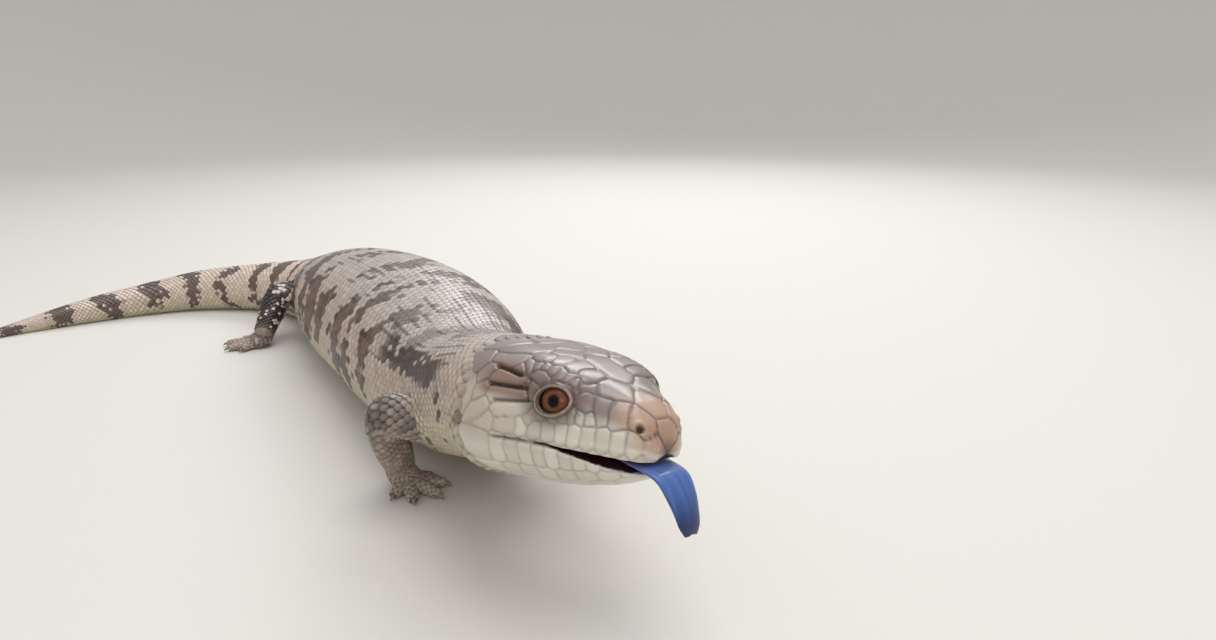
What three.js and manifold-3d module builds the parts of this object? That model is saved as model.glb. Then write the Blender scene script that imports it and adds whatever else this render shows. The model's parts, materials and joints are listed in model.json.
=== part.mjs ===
// Blue tongued skink, a still life-size model: head turned, tongue out, standing low on four short legs.
// Millimetres, +Z up. The origin is on the floor under the middle of the belly, and +X runs to the head.
import * as THREE from "three";
import { mergeVertices } from "three/addons/utils/BufferGeometryUtils.js";
import Module from "manifold-3d";

const wasm = await Module();
wasm.setup();

// Driving dimensions
const JOIN_GAP = 0.3; // between pieces that touch
const SKULL_LENGTH = 50; // the straight part of the spine
const TOTAL_LENGTH = 518; // snout tip to tail tip, along the spine
const SNOUT = new THREE.Vector3(177, -75, 46); // at the level of the mouth line
const HEAD_YAW = -10; // degrees, from +X
const HEAD_PITCH = 4; // degrees, snout up
const HEAD_ROLL = -11; // degrees, crown leaning to the animal's left
const EYE_RADIUS = 5.3;
const EYE_PLACE = { behind: 23.5, side: 13.4, up: 10.0 };
const MOUTH_CORNER = 38; // behind the snout
const JAW_HINGE = 47;
const MOUTH_GAPE = 3.4; // between the lips at the front
const GROOVE_DEPTH = 0.55; // between the head shields
const GROOVE_WIDTH = 1.5;

// Sections along the spine: distance behind the snout, half width, height above and depth below the spine
const HEAD_SECTIONS = [
  [0.4, 3.4, 5.6, 1.6],
  [1.4, 5.8, 7.8, 3.0],
  [3.0, 7.9, 9.6, 4.6],
  [6.0, 10.2, 11.6, 6.6],
  [10, 12.6, 13.4, 8.6],
  [15, 15.2, 15.6, 10.2],
  [20, 17.6, 17.6, 11.6],
  [26, 19.8, 19.4, 12.8],
  [33, 21.9, 20.4, 13.8],
  [40, 23.9, 20.8, 14.6],
  [46, 24.6, 20.8, 15.2],
  [52, 23.6, 20.4, 15.8],
  [60, 21.2, 20.0, 16.6],
];
// Distance, x, y and height of the spine, then half width, height above and depth below it
const TRUNK_STATIONS = [
  [76, 103.5, -57.5, 38.0, 20.6, 19.8, 18.2],
  [98, 84, -46, 31, 23.5, 22, 19.8],
  [125, 61, -32, 28, 29.5, 25.4, 22.8],
  [160, 31, -14.5, 26, 35, 28, 25.4],
  [195, 0, 1, 25, 37, 29.5, 26.4],
  [233, -35, 14, 24.2, 36, 29, 25.6],
  [267, -68, 25, 22.8, 31.5, 26.4, 24],
  [298, -98, 33.5, 20, 24, 21.6, 20.8],
  [325, -124, 38, 17.4, 17.6, 17.2, 18.2],
  [350, -149.5, 38, 15, 15, 14.6, 15.6],
  [374, -172, 32, 13.2, 13.3, 13, 13.8],
  [410, -200.5, 11, 11.2, 11.2, 11, 11.8],
  [442, -217.5, -17, 8.4, 8.3, 8.2, 9],
  [465, -225, -39, 6.8, 6.7, 6.6, 7.3],
  [492, -231.5, -66, 4.2, 4, 4, 4.6],
  [512, -234, -86, 2.2, 2, 2, 2.5],
  [518, -234.5, -92, 1.4, 1.1, 1.1, 1.4],
];

const rad = THREE.MathUtils.degToRad;
const lerp = THREE.MathUtils.lerp;
const smooth = (lo, hi, x) => THREE.MathUtils.smoothstep(x, lo, hi);

// Cubic curve through rows [at, ...values], with the slope at each row taken from its neighbours
function curveThrough(rows, firstSlope = null) {
  const slopes = rows.map((row, i) => {
    if (i === 0 && firstSlope) return firstSlope;
    const before = rows[Math.max(i - 1, 0)];
    const after = rows[Math.min(i + 1, rows.length - 1)];
    return row.slice(1).map((_, k) => (after[k + 1] - before[k + 1]) / (after[0] - before[0]));
  });
  return (at) => {
    let i = rows.findIndex((row) => row[0] >= at);
    if (i === -1) i = rows.length - 1;
    i = Math.max(i, 1);
    const [p, q] = [rows[i - 1], rows[i]];
    const span = q[0] - p[0];
    const t = THREE.MathUtils.clamp((at - p[0]) / span, 0, 1);
    const [t2, t3] = [t * t, t * t * t];
    return p.slice(1).map((value, k) =>
      (2 * t3 - 3 * t2 + 1) * value + (t3 - 2 * t2 + t) * span * slopes[i - 1][k] +
      (-2 * t3 + 3 * t2) * q[k + 1] + (t3 - t2) * span * slopes[i][k]);
  };
}

// The head's own frame: ahead along the snout, side to the animal's left, up through the crown
const headTurn = new THREE.Matrix4()
  .makeRotationZ(rad(HEAD_YAW))
  .multiply(new THREE.Matrix4().makeRotationY(-rad(HEAD_PITCH)));
const ahead = new THREE.Vector3(1, 0, 0).transformDirection(headTurn);
const headEnd = SNOUT.clone().addScaledVector(ahead, -SKULL_LENGTH);
const spineOf = curveThrough(
  [[SKULL_LENGTH, ...headEnd.toArray()], ...TRUNK_STATIONS.map((row) => row.slice(0, 4))],
  ahead.toArray().map((v) => -v));
const trunkSections = TRUNK_STATIONS.map(([s, , , , w, t, b]) => [s, w, t, b]);
const sizeOf = curveThrough([...HEAD_SECTIONS, ...trunkSections]);

function spinePoint(s) {
  return s <= SKULL_LENGTH ? SNOUT.clone().addScaledVector(ahead, -s) : new THREE.Vector3(...spineOf(s));
}

// Where the spine is at s, with the animal's left and up there
function frameAt(s) {
  const step = 0.5;
  const forward = spinePoint(s - step).sub(spinePoint(s + step)).normalize();
  const left = new THREE.Vector3(0, 0, 1).cross(forward).normalize();
  const up = forward.clone().cross(left);
  const roll = rad(HEAD_ROLL) * (1 - smooth(48, 100, s));
  left.applyAxisAngle(forward, roll);
  up.applyAxisAngle(forward, roll);
  return { at: spinePoint(s), forward, left, up };
}

// How square the section is above and below the spine: the crown is flatter than the back
const crownPower = (s) => lerp(2.95, 2.15, smooth(45, 95, s));
const bellyPower = (s) => lerp(2.2, 2.35, smooth(45, 95, s));
const bend = (v, power) => Math.sign(v) * Math.abs(v) ** (2 / power);

// A point of the skin: s behind the snout, and the angle round it from the animal's left side over its back
function skinPoint(s, angle, grow = 0) {
  const { at, left, up } = frameAt(s);
  const [w, top, bottom] = sizeOf(s);
  const power = Math.sin(angle) >= 0 ? crownPower(s) : bellyPower(s);
  const side = (w + grow) * bend(Math.cos(angle), power);
  const height = ((Math.sin(angle) >= 0 ? top : bottom) + grow) * bend(Math.sin(angle), power);
  return at.addScaledVector(left, side).addScaledVector(up, height);
}

// Centres of the head shields: distance behind the snout, and degrees up from the side, on both sides
const SHIELDS = [
  [0.5, 60], [2.6, 28], [3.4, 66], [8.2, 90], [8.6, 44], [10.5, 22], [14.2, 66], [15, 30], [23.5, 90],
  [31.8, 72], [40, 90], [41.5, 52], [51, 76], [53, 45], [17.5, 46], [22, 50], [26.5, 50], [31, 46],
  [35.5, 34],
  [42, 26], [49.5, 24], [36, 17], [43.5, 12], [51, 8],
  ...[4.6, 8.6, 12.6, 16.8, 21.2, 25.8, 30.8, 36.5].map((s) => [s, 7]),
  ...[19, 23.5, 28].map((s) => [s, 17]),
  ...[2.5, 7, 11.6, 16.4, 21.4, 26.6, 32, 37.6].map((s) => [s, -14]),
  ...[8, 14.5, 21.5, 28.5, 35.5].map((s) => [s, -40]),
];
const shieldCentres = SHIELDS.flatMap(([s, up]) =>
  (up === 90 ? [90] : [up, 180 - up]).map((degrees) => skinPoint(s, rad(degrees))));

// How far the skin dips at p, in the groove between the two nearest shields
function grooveAt(p) {
  const [first, second] = shieldCentres.map((c) => c.distanceTo(p)).sort((a, b) => a - b);
  return GROOVE_DEPTH * (1 - smooth(0, GROOVE_WIDTH, second - first));
}

// A closed solid from rings of points, each ring running the same way, with a fan at each end
function ringSolid(rings) {
  const count = rings[0].length;
  const middle = (ring) => ring.reduce((sum, p) => sum.add(p), new THREE.Vector3()).divideScalar(count);
  const points = [...rings.flat(), middle(rings[0]), middle(rings.at(-1))];
  const faces = [];
  rings.slice(1).forEach((_, i) => {
    for (let j = 0; j < count; j++) {
      const [a, b] = [i * count + j, i * count + ((j + 1) % count)];
      faces.push(a, b, b + count, a, b + count, a + count);
    }
  });
  const last = (rings.length - 1) * count;
  for (let j = 0; j < count; j++) {
    const next = (j + 1) % count;
    faces.push(points.length - 2, next, j, points.length - 1, last + j, last + next);
  }
  const solid = new wasm.Manifold(new wasm.Mesh({
    numProp: 3,
    vertProperties: new Float32Array(points.flatMap((p) => p.toArray())),
    triVerts: new Uint32Array(faces),
  }));
  if (solid.volume() >= 0) return solid;
  return ringSolid(rings.map((ring) => [...ring].reverse()));
}

// A three.js geometry as a solid, placed by a matrix
function solidOf(geometry, matrix = new THREE.Matrix4()) {
  const placed = geometry.clone().applyMatrix4(matrix);
  placed.deleteAttribute("normal");
  placed.deleteAttribute("uv");
  const merged = mergeVertices(placed, 1e-4);
  return new wasm.Manifold(new wasm.Mesh({
    numProp: 3,
    vertProperties: new Float32Array(merged.attributes.position.array),
    triVerts: new Uint32Array(merged.index.array),
  }));
}

const onFloor = (p) => p.setZ(Math.max(p.z, 0));
const largest = (solid) => solid.decompose().sort((a, b) => b.volume() - a.volume())[0];

// A length of the body from one distance to another, flat where it lies on the floor.
// Each end stands back from its joint by half the gap.
function bodyLength(from, to, steps, sides, grow = 0, relief = () => 0) {
  const rings = [];
  for (let i = 0; i <= steps; i++) {
    const s = lerp(from, to, i / steps);
    const { at, forward } = frameAt(s);
    const back = i === 0 ? -JOIN_GAP / 2 : i === steps ? JOIN_GAP / 2 : 0;
    rings.push([...Array(sides)].map((_, j) => {
      const p = skinPoint(s, (2 * Math.PI * j) / sides, grow);
      const out = p.clone().sub(at).normalize();
      return onFloor(p.addScaledVector(out, -relief(p)).addScaledVector(forward, back));
    }));
  }
  return ringSolid(rings);
}

const headMatrix = new THREE.Matrix4().makeBasis(
  frameAt(30).forward, frameAt(30).left, frameAt(30).up).setPosition(SNOUT);
// A place in the head: behind the snout, to the animal's left, above the mouth line
const headPlace = (behind, side, up) => new THREE.Vector3(-behind, side, up).applyMatrix4(headMatrix);

function ball(centre, radii, turn = new THREE.Matrix4(), detail = 16) {
  const shape = new THREE.SphereGeometry(1, detail, Math.round(detail * 0.7));
  const size = new THREE.Matrix4().makeScale(...radii);
  return solidOf(shape, new THREE.Matrix4().makeTranslation(centre).multiply(turn).multiply(size));
}

// What lies below the mouth line: from the upper lip, or from the lower lip's opened edge
function belowMouth(open, gap) {
  const line = (behind) => 0.7 * Math.sin((Math.PI * behind) / MOUTH_CORNER) - 0.6;
  const lip = (behind) => line(behind) - open * (MOUTH_GAPE * (1 - smooth(4, 30, behind)) + JOIN_GAP);
  const outline = new THREE.Shape();
  outline.moveTo(12, lip(0));
  for (const behind of [0, 6, 12, 18, 24, 31, MOUTH_CORNER]) outline.lineTo(-behind, lip(behind));
  outline.lineTo(-JAW_HINGE - gap, -1.6 - open * JOIN_GAP);
  outline.lineTo(-JAW_HINGE - 4 - gap, -30);
  outline.lineTo(12, -30);
  const width = 80;
  const block = new THREE.ExtrudeGeometry(outline, { depth: width, bevelEnabled: false });
  const stand = new THREE.Matrix4().makeRotationX(Math.PI / 2).setPosition(0, width / 2, 0);
  return solidOf(block, headMatrix.clone().multiply(stand));
}

// Turns a ring so that it lies on the side of the head, round the eye
function eyeTurn(side) {
  return new THREE.Matrix4().extractRotation(headMatrix)
    .multiply(new THREE.Matrix4().makeRotationZ(side * rad(14)))
    .multiply(new THREE.Matrix4().makeRotationX(side * rad(-72)));
}

// A ring of lid round the eye
function lid(side) {
  const ring = new THREE.TorusGeometry(4.7, 1.15, 7, 18);
  const centre = headPlace(EYE_PLACE.behind, side * (EYE_PLACE.side + 3.5), EYE_PLACE.up + 1.1);
  const shape = new THREE.Matrix4().makeScale(1.12, 0.9, 0.9);
  return solidOf(ring, new THREE.Matrix4().makeTranslation(centre).multiply(eyeTurn(side)).multiply(shape));
}

const SIDES = { right: -1, left: 1 };

function buildHead() {
  const whole = bodyLength(0.4, 62, 36, 48, 0, grooveAt);
  const jaw = whole.intersect(belowMouth(1, 0));
  let head = whole.subtract(belowMouth(0, JOIN_GAP));
  const eyes = {};
  for (const [name, side] of Object.entries(SIDES)) {
    const centre = headPlace(EYE_PLACE.behind, side * EYE_PLACE.side, EYE_PLACE.up);
    head = head.add(lid(side));
    head = head.subtract(ball(centre, [1, 1, 1].map((v) => v * (EYE_RADIUS + JOIN_GAP)), undefined, 16));
    const nostril = headPlace(4.4, side * 7.9, 6.2);
    head = head.subtract(ball(nostril, [1.2, 2.4, 1.0], eyeTurn(0), 10));
    const ear = headPlace(56, side * 23.4, -1.5);
    head = head.subtract(ball(ear, [2.2, 2.6, 4.4], eyeTurn(0), 12));
    eyes[name] = ball(centre, [EYE_RADIUS, EYE_RADIUS, EYE_RADIUS], undefined, 14);
  }
  return { head: largest(head), jaw: largest(jaw), eyes };
}

// The tongue: broad in the mouth, bending over the lower lip and hanging to a blunt tip
const TONGUE_STATIONS = [
  // along, ahead of the snout, side, up, half width, half thickness
  [0, -16, -0.5, -1.2, 5.2, 0.6],
  [1, -8, -0.6, -1.9, 5.4, 0.9],
  [2, -1.5, -0.8, -2.4, 5.3, 1.0],
  [3, 3.0, -1.0, -3.4, 4.9, 1.1],
  [4, 6.2, -1.2, -7.2, 4.2, 1.3],
  [5, 8.4, -1.3, -10.2, 3.5, 1.25],
  [6, 9.4, -1.2, -13, 2.9, 1.1],
  [7, 9.8, -1.0, -15.2, 1.7, 0.7],
];
function buildTongue() {
  const curve = curveThrough(TONGUE_STATIONS);
  const [steps, sides] = [22, 12];
  const centre = (t) => headPlace(-curve(t)[0], curve(t)[1], curve(t)[2]);
  const rings = [];
  const end = TONGUE_STATIONS.at(-1)[0];
  for (let i = 0; i <= steps; i++) {
    const t = (end * i) / steps;
    const along = centre(Math.min(t + 0.05, end)).sub(centre(Math.max(t - 0.05, 0))).normalize();
    const side = frameAt(30).left;
    const thick = along.clone().cross(side).normalize();
    const [, , , half, half2] = curve(t);
    rings.push([...Array(sides)].map((_, j) => {
      const angle = (2 * Math.PI * j) / sides;
      return centre(t).addScaledVector(side, half * Math.cos(angle))
        .addScaledVector(thick, half2 * Math.sin(angle));
    }));
  }
  return ringSolid(rings);
}

// Legs: places down the limb from inside the body, each with its radius, then where the toes point
const LEGS = {
  front_right: {
    root: [91, -57, 26], shoulder: [84.5, -68, 30], elbow: [76, -75.5, 31],
    forearm: [72.5, -72, 19.5], ankle: [67, -65.5, 8.5],
    radii: [9.5, 7.8, 6.5, 6.0, 4.9], toes: -2, size: 1,
  },
  front_left: {
    root: [88, -38, 25], shoulder: [97, -26, 28], elbow: [104.5, -14, 29],
    forearm: [106, -8, 19], ankle: [107, -3, 8.5],
    radii: [9.5, 7.8, 6.5, 6.0, 4.9], toes: 45, size: 1,
  },
  hind_right: {
    root: [-97, 27, 17], shoulder: [-102, 16, 21.5], elbow: [-108, 5, 22],
    forearm: [-106, -2, 15], ankle: [-102, -9.5, 8],
    radii: [10.5, 9, 7, 5.8, 4.7], toes: -150, size: 1.1,
  },
  hind_left: {
    root: [-99, 42, 17], shoulder: [-94, 56, 21.5], elbow: [-89.5, 68, 22],
    forearm: [-92, 74, 15], ankle: [-96, 81, 8],
    radii: [10.5, 9, 7, 5.8, 4.7], toes: 70, size: 1.1,
  },
};

// Rings round a curve through the centres, counted from 0; past carries the last ring on by that much
function tube(centres, radii, from, to, steps, sides, squash = 1, past = 0) {
  const curve = curveThrough(centres.map((c, i) => [i, ...c, radii[i]]));
  const rings = [];
  for (let i = 0; i <= steps; i++) {
    const t = lerp(from, to, i / steps);
    const [x, y, z, r] = curve(t);
    const a = new THREE.Vector3(...curve(Math.min(t + 0.02, centres.length - 1)).slice(0, 3));
    const b = new THREE.Vector3(...curve(Math.max(t - 0.02, 0)).slice(0, 3));
    const along = a.sub(b).normalize();
    const across = new THREE.Vector3(0, 0, 1).cross(along);
    if (across.length() < 0.05) across.set(1, 0, 0);
    across.normalize();
    const third = along.clone().cross(across);
    const middle = new THREE.Vector3(x, y, z).addScaledVector(along, i === steps ? past : 0);
    rings.push([...Array(sides)].map((_, j) => {
      const angle = (2 * Math.PI * j) / sides;
      return onFloor(middle.clone().addScaledVector(across, r * Math.cos(angle))
        .addScaledVector(third, r * squash * Math.sin(angle)));
    }));
  }
  return rings;
}

// Toes as angles from the foot's heading and lengths, thumb first
const TOES = [[66, 9], [36, 13], [4, 15], [-30, 12.5], [-68, 9]];

function buildFoot(leg, side) {
  const [x, y] = leg.ankle;
  const way = (degrees) => [Math.cos(rad(degrees)), Math.sin(rad(degrees))];
  const place = ([px, py], [dx, dy], d, z) => [px + dx * d * leg.size, py + dy * d * leg.size, z];
  const heading = way(leg.toes);
  const palm = [[-0.5, 8], [0.6, 5.2], [4, 3.2], [7.6, 2.2]].map(([d, z]) => place([x, y], heading, d, z));
  let foot = ringSolid(tube(palm, [4.6, 5.2, 5.2, 3.6], 0, 3, 6, 12, 0.85));
  const knuckle = place([x, y], heading, 3.4, 0);
  for (const [turn, length] of TOES) {
    const along = way(leg.toes - side * turn);
    const at = (d, z) => place(knuckle, along, d, z);
    const toe = [at(0, 2.3), at(length * 0.45, 2.3), at(length * 0.8, 1.8), at(length, 1.3)];
    foot = foot.add(ringSolid(tube(toe, [2.1, 1.95, 1.6, 0.9], 0, 3, 3, 6)));
    const claw = [at(length - 1, 1.5), at(length + 1.1, 1.5), at(length + 2.6, 0.5)];
    foot = foot.add(ringSolid(tube(claw, [0.85, 0.6, 0.25], 0, 2, 2, 5)));
  }
  return foot;
}

// Upper arm with a rounded elbow, then the forearm and the foot, each cut clear of the piece above it
function buildLeg(leg, side, bodyGrown) {
  const [steps, sides] = [5, 14];
  const upperArm = (grow) => {
    const radii = leg.radii.slice(0, 3).map((r) => r + grow);
    const arm = ringSolid(tube([leg.root, leg.shoulder, leg.elbow], radii, 0, 2, steps, sides));
    return arm.add(ball(new THREE.Vector3(...leg.elbow), [radii[2], radii[2], radii[2]], undefined, sides));
  };
  const foreArm = (grow) => {
    const radii = leg.radii.slice(2).map((r) => r + grow);
    return ringSolid(tube([leg.elbow, leg.forearm, leg.ankle], radii, 0, 2, steps, sides, 1, grow));
  };
  const above = upperArm(JOIN_GAP);
  return {
    upper: largest(upperArm(0).subtract(bodyGrown)),
    lower: largest(foreArm(0).subtract(above).subtract(bodyGrown)),
    foot: largest(buildFoot(leg, side).subtract(foreArm(JOIN_GAP)).subtract(above)),
  };
}

const COLOURS = {
  hide: { color: 0xa89a8c, roughness: 0.45 },
  crown: { color: 0x8f827b, roughness: 0.35 },
  jaw: { color: 0xc9c0b2, roughness: 0.4 },
  legs: { color: 0x5d5048, roughness: 0.45 },
  tail: { color: 0xc9b5a6, roughness: 0.45 },
  eye: { color: 0x3a2418, roughness: 0.08 },
  tongue: { color: 0x3f5f9e, roughness: 0.3 },
};

const skink = new THREE.Group();
function addNode(name, solid, finish) {
  const mesh = solid.getMesh();
  const geometry = new THREE.BufferGeometry();
  geometry.setAttribute("position", new THREE.BufferAttribute(new Float32Array(mesh.vertProperties), 3));
  geometry.setIndex(new THREE.BufferAttribute(new Uint32Array(mesh.triVerts), 1));
  geometry.computeVertexNormals();
  const material = new THREE.MeshStandardMaterial({ metalness: 0, ...COLOURS[finish] });
  const node = new THREE.Mesh(geometry, material);
  node.name = name;
  skink.add(node);
}

const { head, jaw, eyes } = buildHead();
addNode("head", head, "crown");
addNode("lower_jaw", jaw, "jaw");
addNode("eye_right", eyes.right, "eye");
addNode("eye_left", eyes.left, "eye");
addNode("tongue", buildTongue(), "tongue");

// Lengths of the body from the neck back: where each ends, its rings and its sides
const LENGTHS = [
  ["neck", 92, 7, 28, "hide"],
  ["torso_front", 190, 17, 30, "hide"],
  ["torso_rear", 290, 17, 30, "hide"],
  ["tail_base", 352, 10, 22, "tail"],
  ["tail_middle", 430, 12, 18, "tail"],
  ["tail_tip", TOTAL_LENGTH, 12, 14, "tail"],
];
let from = 62;
for (const [name, to, steps, sides, finish] of LENGTHS) {
  addNode(name, bodyLength(from, to, steps, sides), finish);
  from = to;
}

const bodyGrown = bodyLength(50, 330, 44, 32, JOIN_GAP + 0.1);
for (const [name, leg] of Object.entries(LEGS)) {
  const parts = buildLeg(leg, name.endsWith("right") ? -1 : 1, bodyGrown);
  for (const [piece, solid] of Object.entries(parts)) addNode(`${name}_${piece}`, solid, "legs");
}

export default skink;
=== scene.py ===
# %% [markdown]
# A blue tongued skink, still and life size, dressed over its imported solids. It stands low on four short
# legs with its head turned and its blue tongue out. The solids give every size, so this script repeats the
# few numbers that shape them and builds a finer skin, head shields, scales, eyes, tongue and claws on top.

# %% Load the frame
import json
import math
from collections import namedtuple

import bpy
import numpy as np
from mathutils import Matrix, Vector
from mathutils.bvhtree import BVHTree
from mathutils.kdtree import KDTree

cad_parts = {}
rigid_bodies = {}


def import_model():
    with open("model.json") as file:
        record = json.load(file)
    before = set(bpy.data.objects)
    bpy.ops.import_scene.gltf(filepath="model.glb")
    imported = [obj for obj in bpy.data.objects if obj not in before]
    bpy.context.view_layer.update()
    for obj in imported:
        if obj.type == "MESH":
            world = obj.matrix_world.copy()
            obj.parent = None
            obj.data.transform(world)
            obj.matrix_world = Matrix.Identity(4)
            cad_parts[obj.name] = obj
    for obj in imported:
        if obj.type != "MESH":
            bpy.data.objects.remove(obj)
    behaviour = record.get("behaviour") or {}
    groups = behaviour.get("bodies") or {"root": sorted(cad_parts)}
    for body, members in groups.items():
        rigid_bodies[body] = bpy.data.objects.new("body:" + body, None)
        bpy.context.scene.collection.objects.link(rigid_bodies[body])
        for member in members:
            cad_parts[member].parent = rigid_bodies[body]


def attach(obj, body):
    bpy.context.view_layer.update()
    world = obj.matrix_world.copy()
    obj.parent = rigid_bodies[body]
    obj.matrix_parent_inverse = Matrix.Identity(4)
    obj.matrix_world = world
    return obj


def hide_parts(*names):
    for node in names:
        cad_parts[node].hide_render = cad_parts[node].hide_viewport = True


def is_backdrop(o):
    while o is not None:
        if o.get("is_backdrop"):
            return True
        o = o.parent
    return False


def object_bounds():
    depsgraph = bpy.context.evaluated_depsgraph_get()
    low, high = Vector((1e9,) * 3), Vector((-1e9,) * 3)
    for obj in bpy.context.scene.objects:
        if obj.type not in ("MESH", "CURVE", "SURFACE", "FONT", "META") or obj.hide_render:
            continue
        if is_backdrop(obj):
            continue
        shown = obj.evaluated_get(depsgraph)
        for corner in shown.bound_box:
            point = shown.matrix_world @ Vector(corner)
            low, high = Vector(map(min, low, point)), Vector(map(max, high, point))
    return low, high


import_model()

for name in ("Cube", "Camera", "Light"):  # Blender's own start-up things
    if name in bpy.data.objects:
        bpy.data.objects.remove(bpy.data.objects[name])
cad_box = [list(map(float, corner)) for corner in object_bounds()]
print("solids' box in metres:", cad_box)

# %% [markdown]
# Everything is built in metres. The real animal's sizes are easier to read in millimetres, so each is
# written in them and multiplied by MM. Angles are in degrees and turned to radians where they are used.

# %% Units and driving sizes
MM = 0.001
SNOUT = np.array([177, -75, 46]) * MM  # at the level of the mouth line
HEAD_YAW, HEAD_PITCH, HEAD_ROLL = np.radians([-10, 4, -11])
SKULL_LENGTH = 50 * MM  # the straight part of the spine
HEAD_END = 62 * MM  # where the neck begins
TOTAL_LENGTH = 518 * MM
EYE_RADIUS = 5.3 * MM
EYE_PLACE = np.array([23.5, 13.4, 10.0]) * MM  # behind the snout, to the side, above the mouth line
MOUTH_CORNER = 38 * MM
MOUTH_GAPE = 3.4 * MM
COAT_DEPTH = 0.35 * MM  # the skin lies this far inside the solids, and the scales fill it
HEAD_MIDDLE = 30 * MM  # the head's own axes are taken here

# Distance behind the snout, half width, height above and depth below the spine
HEAD_SECTIONS = np.array([
    [0.4, 3.4, 5.6, 1.6], [1.4, 5.8, 7.8, 3.0], [3.0, 7.9, 9.6, 4.6], [6.0, 10.2, 11.6, 6.6],
    [10, 12.6, 13.4, 8.6], [15, 15.2, 15.6, 10.2], [20, 17.6, 17.6, 11.6], [26, 19.8, 19.4, 12.8],
    [33, 21.9, 20.4, 13.8], [40, 23.9, 20.8, 14.6], [46, 24.6, 20.8, 15.2], [52, 23.6, 20.4, 15.8],
    [60, 21.2, 20.0, 16.6],
]) * MM
# Distance, x, y and height of the spine, then half width, height above and depth below it
TRUNK_STATIONS = np.array([
    [76, 103.5, -57.5, 38.0, 20.6, 19.8, 18.2], [98, 84, -46, 31, 23.5, 22, 19.8],
    [125, 61, -32, 28, 29.5, 25.4, 22.8], [160, 31, -14.5, 26, 35, 28, 25.4],
    [195, 0, 1, 25, 37, 29.5, 26.4], [233, -35, 14, 24.2, 36, 29, 25.6],
    [267, -68, 25, 22.8, 31.5, 26.4, 24], [298, -98, 33.5, 20, 24, 21.6, 20.8],
    [325, -124, 38, 17.4, 17.6, 17.2, 18.2], [350, -149.5, 38, 15, 15, 14.6, 15.6],
    [374, -172, 32, 13.2, 13.3, 13, 13.8], [410, -200.5, 11, 11.2, 11.2, 11, 11.8],
    [442, -217.5, -17, 8.4, 8.3, 8.2, 9], [465, -225, -39, 6.8, 6.7, 6.6, 7.3],
    [492, -231.5, -66, 4.2, 4, 4, 4.6], [512, -234, -86, 2.2, 2, 2, 2.5],
    [518, -234.5, -92, 1.4, 1.1, 1.1, 1.4],
]) * MM
print("head: %.0f mm, eyeball: %.1f mm across" % (HEAD_END / MM, 2 * EYE_RADIUS / MM))

# %% [markdown]
# The body is a loft: an oval section swept along a curved spine. The spine and the section sizes are
# smooth curves through the stations above, and the same functions give the skin, the place of every scale
# and the markings, so that they always agree.

# %% Curves
TINY = 1e-12


def smooth(low, high, x):
    """0 up to low, 1 from high on, and an even rise between them."""
    t = np.clip((x - low) / (high - low), 0, 1)
    return t * t * (3 - 2 * t)


def bell(distance, width, power=2):
    """1 where distance is 0, falling to next to nothing at twice the width."""
    return np.exp(-((distance / width) ** power))


def unit(v):
    return v / np.maximum(np.linalg.norm(v, axis=-1, keepdims=True), TINY)


def curve_through(rows, first_slope=None):
    """A cubic curve through rows of [at, values...], sloped at each row by its neighbours."""
    rows = np.array(rows, float)
    at, values = rows[:, 0], rows[:, 1:]
    before = np.maximum(np.arange(len(at)) - 1, 0)
    after = np.minimum(np.arange(len(at)) + 1, len(at) - 1)
    slopes = (values[after] - values[before]) / (at[after] - at[before])[:, None]
    if first_slope is not None:
        slopes[0] = first_slope

    def value_at(x):
        x = np.asarray(x, float)
        i = np.clip(np.searchsorted(at, x), 1, len(at) - 1)
        span = (at[i] - at[i - 1])[..., None]
        t = np.clip((x - at[i - 1])[..., None] / span, 0, 1)
        return ((2 * t**3 - 3 * t**2 + 1) * values[i - 1] + (t**3 - 2 * t**2 + t) * span * slopes[i - 1]
                + (3 * t**2 - 2 * t**3) * values[i] + (t**3 - t**2) * span * slopes[i])

    return value_at


# %% [markdown]
# A section of the animal isn't a true oval. The head is boxy above, with flat sides and a flat crown, and
# the trunk is rounder. The power of a superellipse sets this: 2 is an ellipse, and more is boxier. It
# eases from the head's value to the trunk's along the neck, where the head's lean to one side also ends.

# %% The spine and the section
TOP_POWER, TOP_CHANGE = 2.95, -0.8  # on the head, and what the trunk adds
BELLY_POWER, BELLY_CHANGE = 2.2, 0.15
NECK_CHANGE, NECK_TURN = (45 * MM, 95 * MM), (48 * MM, 100 * MM)  # where the section and the lean change
AHEAD = np.array([math.cos(HEAD_YAW) * math.cos(HEAD_PITCH),
                  math.sin(HEAD_YAW) * math.cos(HEAD_PITCH), math.sin(HEAD_PITCH)])
spine_of = curve_through([[SKULL_LENGTH, *(SNOUT - AHEAD * SKULL_LENGTH)], *TRUNK_STATIONS[:, :4]], -AHEAD)
size_of = curve_through([*HEAD_SECTIONS, *TRUNK_STATIONS[:, [0, 4, 5, 6]]])


def spine_point(s):
    s = np.asarray(s, float)
    return np.where(s[..., None] <= SKULL_LENGTH, SNOUT - AHEAD * s[..., None], spine_of(s))


def frame_at(s):
    """The spine at s, with the animal's forward, left and up there."""
    s = np.asarray(s, float)
    step = 0.5 * MM
    forward = unit(spine_point(s - step) - spine_point(s + step))
    left = unit(np.cross([0, 0, 1.0], forward))
    up = np.cross(forward, left)
    roll = HEAD_ROLL * (1 - smooth(*NECK_TURN, s))
    c, n = np.cos(roll)[..., None], np.sin(roll)[..., None]
    return spine_point(s), forward, left * c + up * n, up * c - left * n


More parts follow.
